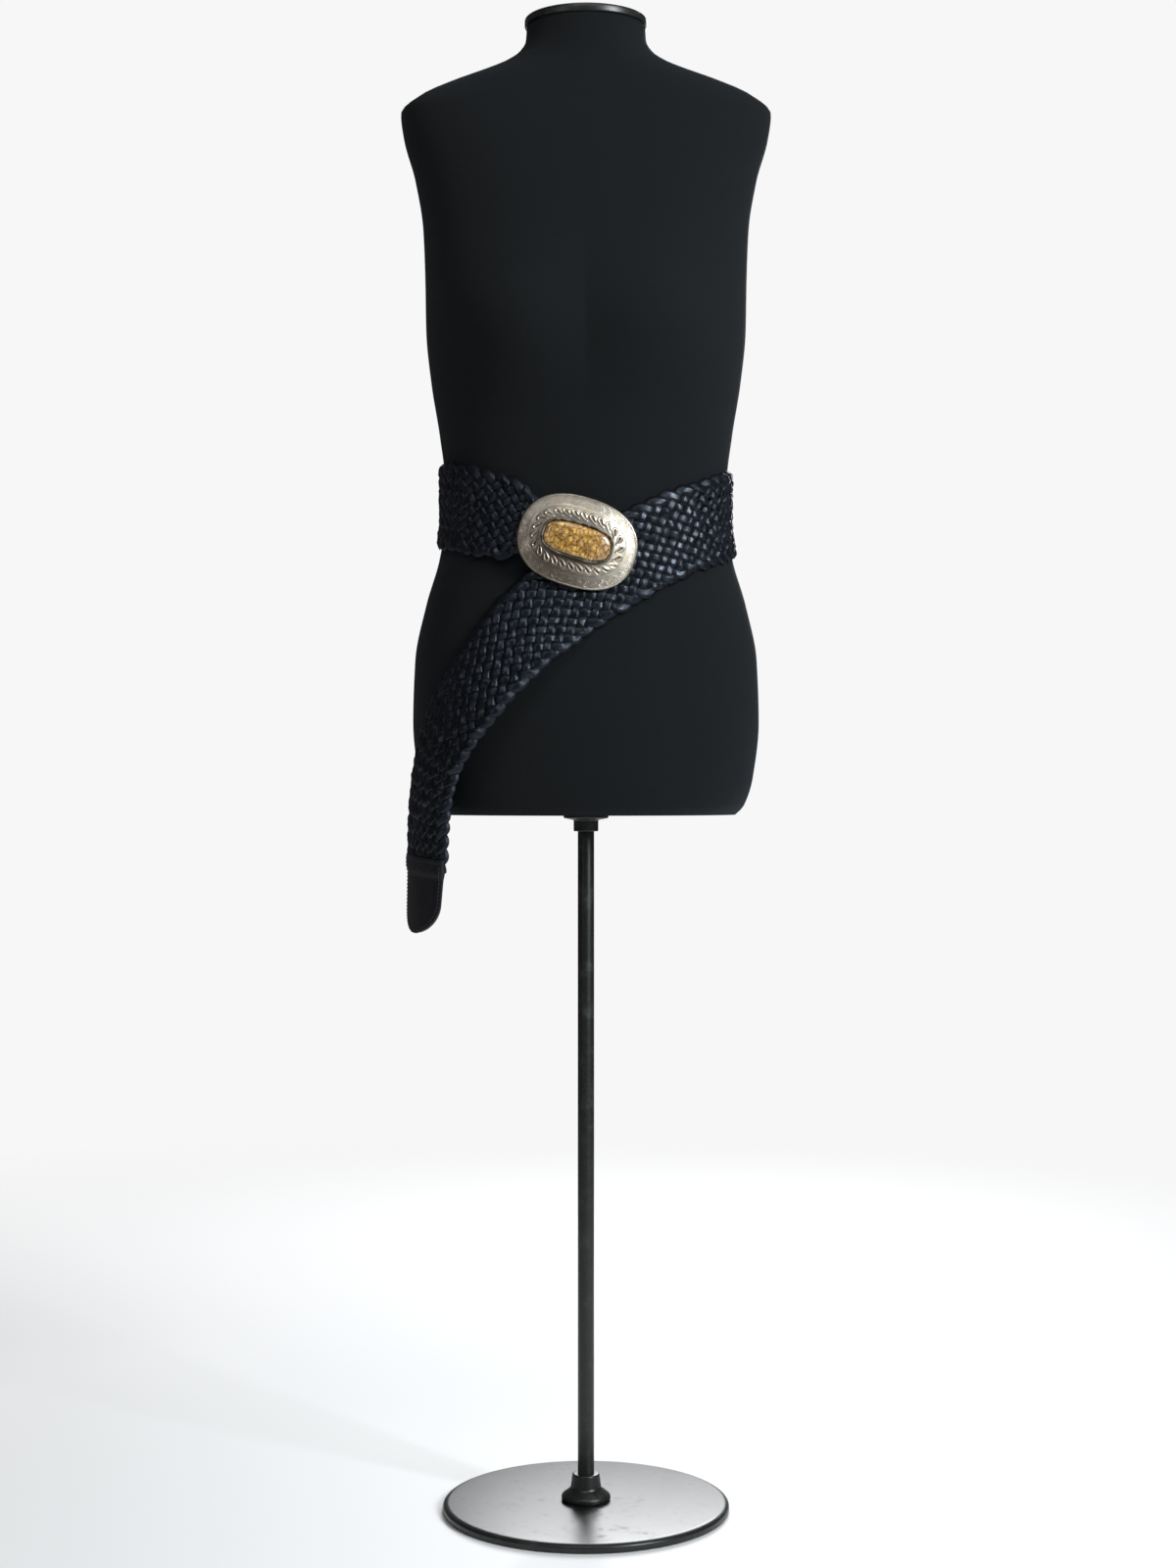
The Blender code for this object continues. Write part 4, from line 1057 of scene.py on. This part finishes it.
def build_bezel(place, look):
    """The rope of twisted wires round the stone."""
    outline = np.stack(stone_outline(ROPE_OUTSET, ROPE_STEPS), axis=-1)
    closed = np.concatenate([outline, outline[:1]])
    gone = gone_along(closed)
    even = np.linspace(0, gone[-1], ROPE_STEPS, endpoint=False)
    line = np.stack([np.interp(even, gone, closed[:, axis]) for axis in (0, 1)], axis=-1)
    ahead = unit(np.roll(line, -1, axis=0) - np.roll(line, 1, axis=0))
    outward = np.stack([ahead[:, 1], -ahead[:, 0]], axis=-1)
    seat = plate_rise(oval_share(*line.T, *PLATE_OVAL)) + ROPE_COIL_RADIUS
    height = np.maximum(seat, plate_rise(0.5)) + ROPE_STRAND_RADIUS
    strands, crowns = [], []
    for strand in range(ROPE_STRANDS):
        twist = 2 * math.pi * (even / gone[-1] * ROPE_TWISTS + strand / ROPE_STRANDS)
        out, up = ROPE_COIL_RADIUS * np.cos(twist), ROPE_COIL_RADIUS * np.sin(twist)
        centre = bent(place, *(line + outward * out[:, None]).T, height + up)
        tangent = unit(np.roll(centre, -1, axis=0) - np.roll(centre, 1, axis=0))
        side = unit(np.cross(tangent, place.z))
        rows = tube_rows(centre, side, np.cross(side, tangent), ROPE_STRAND_RADIUS, ROPE_SIDES)
        strands.append((rows.reshape(-1, 3), quads(ROPE_STEPS, ROPE_SIDES, closed_rows=True)))
        lifted = 0.5 + 0.3 * np.sin(twist)[:, None] + 0.3 * np.sin(angles(ROPE_SIDES))[None, :]
        crowns.append(np.clip(lifted, 0, 1).ravel())
    attributes = {"crown": np.concatenate(crowns)}
    rope = piece("rope_bezel", *joined(strands), look, "silver", attributes)
    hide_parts("buckle_bezel")


def build_cup(place, look):
    """The thin wall that stands close round the stone's foot, inside the rope."""
    rows = []
    for out, up, _ in CUP_SECTION:
        x, y = stone_outline(CUP_OUTSET + CUP_THICKNESS * out, CUP_SIDES)
        rows.append(bent(place, x, y, plate_rise(0.45) - CUP_SUNK + CUP_RISE * up))
    faces = quads(len(CUP_SECTION), CUP_SIDES, closed_rows=True)
    crown = np.repeat(column(CUP_SECTION, CUP_COLUMNS, "crown"), CUP_SIDES)
    piece("bezel_cup", np.concatenate(rows), faces, look, "silver", {"crown": crown})


STONE_SIDES = 220
STONE_ROWS = 46
STONE_SEAT = 0.1 * MM  # over the middle of the plate
STONE_HEIGHT = 5.8 * MM
STONE_WALL = 0.30  # the upright wall's share of the height
STONE_SHARE_POWER = 0.62
STONE_RISE_POWER = 0.95
STONE_UNEVEN = 0.12 * MM


def build_stone(place, look):
    """The polished stone, domed over a short upright wall, its top a little uneven."""
    climb = np.linspace(0, math.pi / 2, STONE_ROWS)[1:-1]
    dome = STONE_WALL + (1 - STONE_WALL) * np.sin(climb) ** STONE_RISE_POWER
    shares = np.concatenate([[0.4, 1.0, 1.0], np.cos(climb) ** STONE_SHARE_POWER, [0.05]])
    parts = np.concatenate([[0.0, 0.0, STONE_WALL], dome, [1.0]])
    seat = float(plate_rise(0.0)) + STONE_SEAT
    rows, along = [], []
    for share, part in zip(shares, parts):
        x, y = stone_outline(0.0, STONE_SIDES, share)
        uneven = STONE_UNEVEN * np.sin(x * 190.0 + 1.0) * np.cos(y * 260.0) * part
        rows.append(bent(place, x, y, seat + part * STONE_HEIGHT + uneven))
        along.append(x)
    # length_share places the painted reflection towards the stone's right end.
    attributes = {"length_share": np.concatenate(along) / STONE_OVAL[0]}
    made = piece("stone_cabochon", *filled_grid(rows), look, "stone", attributes, sharp_angle=70)
    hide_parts("buckle_stone")


FORM_SIDES = 260
FORM_ROW_STEP = 4.2 * MM
FORM_FOOT_ROWS = (0.0, 1.0 * MM, 2.5 * MM, 4.5 * MM)
FORM_UNDERSIDE = (0.3, 0.8)
CAP_SIDES = 180
CAP_FOOT = ((1.2 * MM, 0.0), (0.3 * MM, 0.3 * MM), (0.0, 1.2 * MM))  # (inset, rise) points
CAP_OVERHANG = 2 * MM
CAP_ROUNDING = 2.2 * MM
CAP_SIDE = 8 * MM
CAP_DOME = 4.5 * MM
CAP_DOME_REACH = 45 * MM
CAP_DOME_ROWS = (0.1, 0.25, 0.45, 0.7, 1.0)


def level_ring(radius, turns, height):
    sideways, forwards = np.sin(np.radians(turns)), np.cos(np.radians(turns))
    return np.stack([-radius * sideways, -radius * forwards, np.full(len(turns), height)], axis=-1)


def build_torso(look):
    """The form's torso: smooth, whole, closed under the hips and over the neck."""
    turns = np.arange(FORM_SIDES) * 360 / FORM_SIDES
    low, high = FORM[0][0], FORM[-1][0]
    count = int((high - low) / FORM_ROW_STEP)
    heights = np.concatenate([low + np.array(FORM_FOOT_ROWS), np.linspace(low, high, count)[2:]])
    rows = [level_ring(form_radius(turns, low) * share, turns, low) for share in FORM_UNDERSIDE]
    rows += [level_ring(form_radius(turns, height), turns, height) for height in heights]
    torso = piece("jersey_torso", *filled_grid(rows), look, "jersey", sharp_angle=70)
    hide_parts("form_body")


def build_cap(look):
    """The plate that closes the neck, with rounded edges and a low dome."""
    turns = np.arange(CAP_SIDES) * 360 / CAP_SIDES
    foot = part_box("form_cap")[0].z
    outside = form_radius(turns, FORM[-1][0]) + CAP_OVERHANG
    top = CAP_SIDE - CAP_ROUNDING
    section = list(CAP_FOOT)
    for angle in np.linspace(0, math.pi / 2, 7):
        section.append((CAP_ROUNDING * (1 - math.cos(angle)), top + CAP_ROUNDING * math.sin(angle)))
    for share in CAP_DOME_ROWS:
        dome = CAP_DOME * math.sin(share * math.pi / 2)
        section.append((CAP_ROUNDING + share * CAP_DOME_REACH, CAP_SIDE + dome))
    rows = [level_ring(outside - inset, turns, foot + rise) for inset, rise in section]
    cap = piece("neck_cap", *filled_grid(rows), look, "steel", sharp_angle=60)
    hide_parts("form_cap")


def rounded(profile, radius, arc_points=5):
    """A turned profile with its corners rounded: (radius, height) points, the first and last kept."""
    profile = [np.array(point, float) for point in profile]
    line = [profile[0]]
    for before, corner, after in zip(profile[:-2], profile[1:-1], profile[2:]):
        back, on = before - corner, after - corner
        cut = min(radius, np.linalg.norm(back) * 0.45, np.linalg.norm(on) * 0.45)
        start, end = corner + unit(back) * cut, corner + unit(on) * cut
        for share in np.linspace(0, 1, arc_points):
            line.append((1 - share) ** 2 * start + 2 * share * (1 - share) * corner + share**2 * end)
    return line + [profile[-1]]


# The stand's turned pieces: (node, piece, rounding, sides, profile). A profile point is (share of
# its solid's radius, metres wider, share of the solid's height, metres higher).
STAND = (
    ("form_base", "round_base", 2.5 * MM, 160, (
        (0, 20 * MM, 0, 0), (1, 0, 0, 0), (1, 0, 0.75, 0), (1, -4 * MM, 1, 0), (0, 30 * MM, 1, 0),
    )),
    ("form_hub", "base_hub", 2.0 * MM, 96, (
        (0, 10 * MM, 0, 0), (1, 0, 0, 0), (1, 0, 0, 5 * MM), (0.62, 0, 0, 12 * MM), (0.55, 0, 1, 0),
        (0, 9.5 * MM, 1, 0),
    )),
    ("form_pole", "stand_pole", 0.6 * MM, 64, (
        (0, 4 * MM, 0, 0), (1, 0, 0, 0), (1, 0, 1, 0), (0, 4 * MM, 1, 0),
    )),
    ("form_collar", "form_collar_ring", 1.2 * MM, 96, (
        (0, 9.5 * MM, 0, 0), (0.55, 0, 0, 0), (0.55, 0, 1, -5 * MM), (1, 0, 1, -3 * MM), (1, 0, 1, 0),
        (0, 9.5 * MM, 1, 0),
    )),
)


def build_stand(look):
    """The base, hub, pole and collar, with rounded corners, in the places of their solids."""
    for node, name, rounding, sides, profile in STAND:
        low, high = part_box(node)
        tall = high.z - low.z
        line = [(high.x * out + wider, low.z + tall * up + higher) for out, wider, up, higher in profile]
        c, s = np.cos(angles(sides)), np.sin(angles(sides))
        rows = [np.stack([r * c, r * s, np.full(sides, h)], axis=-1) for r, h in rounded(line, rounding)]
        made = piece(name, *filled_grid(rows), look, "steel", sharp_angle=50)
        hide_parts(node)


def dress_node(name, look):
    """Gives a node that keeps its own shape a better material."""
    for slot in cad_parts[name].material_slots:
        slot.material = look


FLOOR_RADIUS = 3.2
FLOOR_FADE_FROM = 0.55
FLOOR_FADE_TO = 2.6


def build_floor():
    """A pale round floor whose edge fades away into the pale surroundings."""
    g = Graph("pale_floor")
    axes = g.add("SeparateXYZ", {"Vector": g.place()}).outputs
    squares = (g.math("POWER", axes[name], 2.0) for name in ("X", "Y"))
    out = g.math("SQRT", g.math("ADD", *squares))
    g.set(
        Base_Color=(0.86, 0.86, 0.86),
        Roughness=0.6,
        Specular_IOR_Level=0.2,
        Alpha=g.span(out, FLOOR_FADE_TO, FLOOR_FADE_FROM),
    )
    bpy.ops.mesh.primitive_circle_add(vertices=96, radius=FLOOR_RADIUS, fill_type="NGON")
    floor = bpy.context.object
    floor.name = "pale_floor"
    floor.data.materials.append(g.material)


SURROUND_SEEN = (0.93, 0.93, 0.93)
SURROUND_LIGHT = (0.074, 0.072, 0.072)


def build_surroundings():
    """Pale all round; what it lends to the light is dimmer than how it shows."""
    world = bpy.data.worlds.new("studio")
    bpy.context.scene.world = world
    world.use_nodes = True
    nodes, links = world.node_tree.nodes, world.node_tree.links
    background = nodes["Background"]
    seen = nodes.new("ShaderNodeLightPath").outputs["Is Camera Ray"]
    choice = nodes.new("ShaderNodeMix")
    choice.data_type = "RGBA"
    choice.inputs[6].default_value = (*SURROUND_LIGHT, 1.0)
    choice.inputs[7].default_value = (*SURROUND_SEEN, 1.0)
    links.new(seen, choice.inputs[0])
    links.new(choice.outputs[2], background.inputs["Color"])


# Softboxes: (name, where it stands, what it is aimed at, width, height, watts, colour).
LIGHTS = (
    ("key", (1.90, -1.80, 1.80), (0.0, 0.0, 0.95), 0.75, 1.2, 84.0, (0.91, 0.96, 1.0)),
    ("fill", (-1.45, -1.75, 1.60), (0.0, 0.0, 0.95), 0.28, 1.1, 3.4, (0.90, 0.94, 1.0)),
    ("top", (-0.1, -1.5, 2.7), (0.0, 0.0, 1.0), 1.2, 0.8, 13.0, (1.0, 0.97, 0.92)),
    ("back", (0.3, 2.4, 1.8), (0.0, 0.0, 1.0), 1.2, 1.5, 80.0, (0.96, 0.98, 1.0)),
)


def aim(thing, target):
    thing.rotation_euler = (Vector(target) - thing.location).to_track_quat("-Z", "Y").to_euler()


def build_lights():
    for name, place, target, width, height, watts, colour in LIGHTS:
        data = bpy.data.lights.new(name, "AREA")
        data.shape = "RECTANGLE"
        data.size, data.size_y = width, height
        data.energy = watts
        data.color = colour
        lamp = bpy.data.objects.new(name, data)
        lamp.location = place
        aim(lamp, target)
        bpy.context.scene.collection.objects.link(lamp)


CAMERA_PLACE = (0.002, -2.35, 0.71)
CAMERA_FOCAL_PIXELS = 2448
SENSOR = 36.0


def build_camera():
    """Level with the middle of the form, at the height and distance of the photograph's view."""
    data = bpy.data.cameras.new("camera")
    data.sensor_width = SENSOR
    data.lens = CAMERA_FOCAL_PIXELS / IMAGE_HEIGHT * SENSOR
    camera = bpy.data.objects.new("camera", data)
    camera.location = CAMERA_PLACE
    camera.rotation_euler = (math.pi / 2, 0.0, 0.0)
    bpy.context.scene.collection.objects.link(camera)
    bpy.context.scene.camera = camera


def main():
    build_camera()
    build_floor()
    build_surroundings()
    build_lights()
    bpy.context.scene.view_settings.view_transform = "Standard"

    strap = Strap()
    place = buckle_frame()
    plain_leather = tab_look()
    build_plait(strap, leather_look())
    build_tip(strap, plain_leather, thread_look())
    dress_node("buckle_tab", plain_leather)
    build_plate(place, silver_look())
    dark_silver = dark_silver_look()
    build_bezel(place, dark_silver)
    build_cup(place, dark_silver)
    build_stone(place, stone_look())
    silver = wire_look()
    dress_node("buckle_bale", silver)
    dress_node("buckle_hook", silver)
    build_torso(jersey_look())
    paint = paint_look()
    build_cap(paint)
    build_stand(paint)


main()
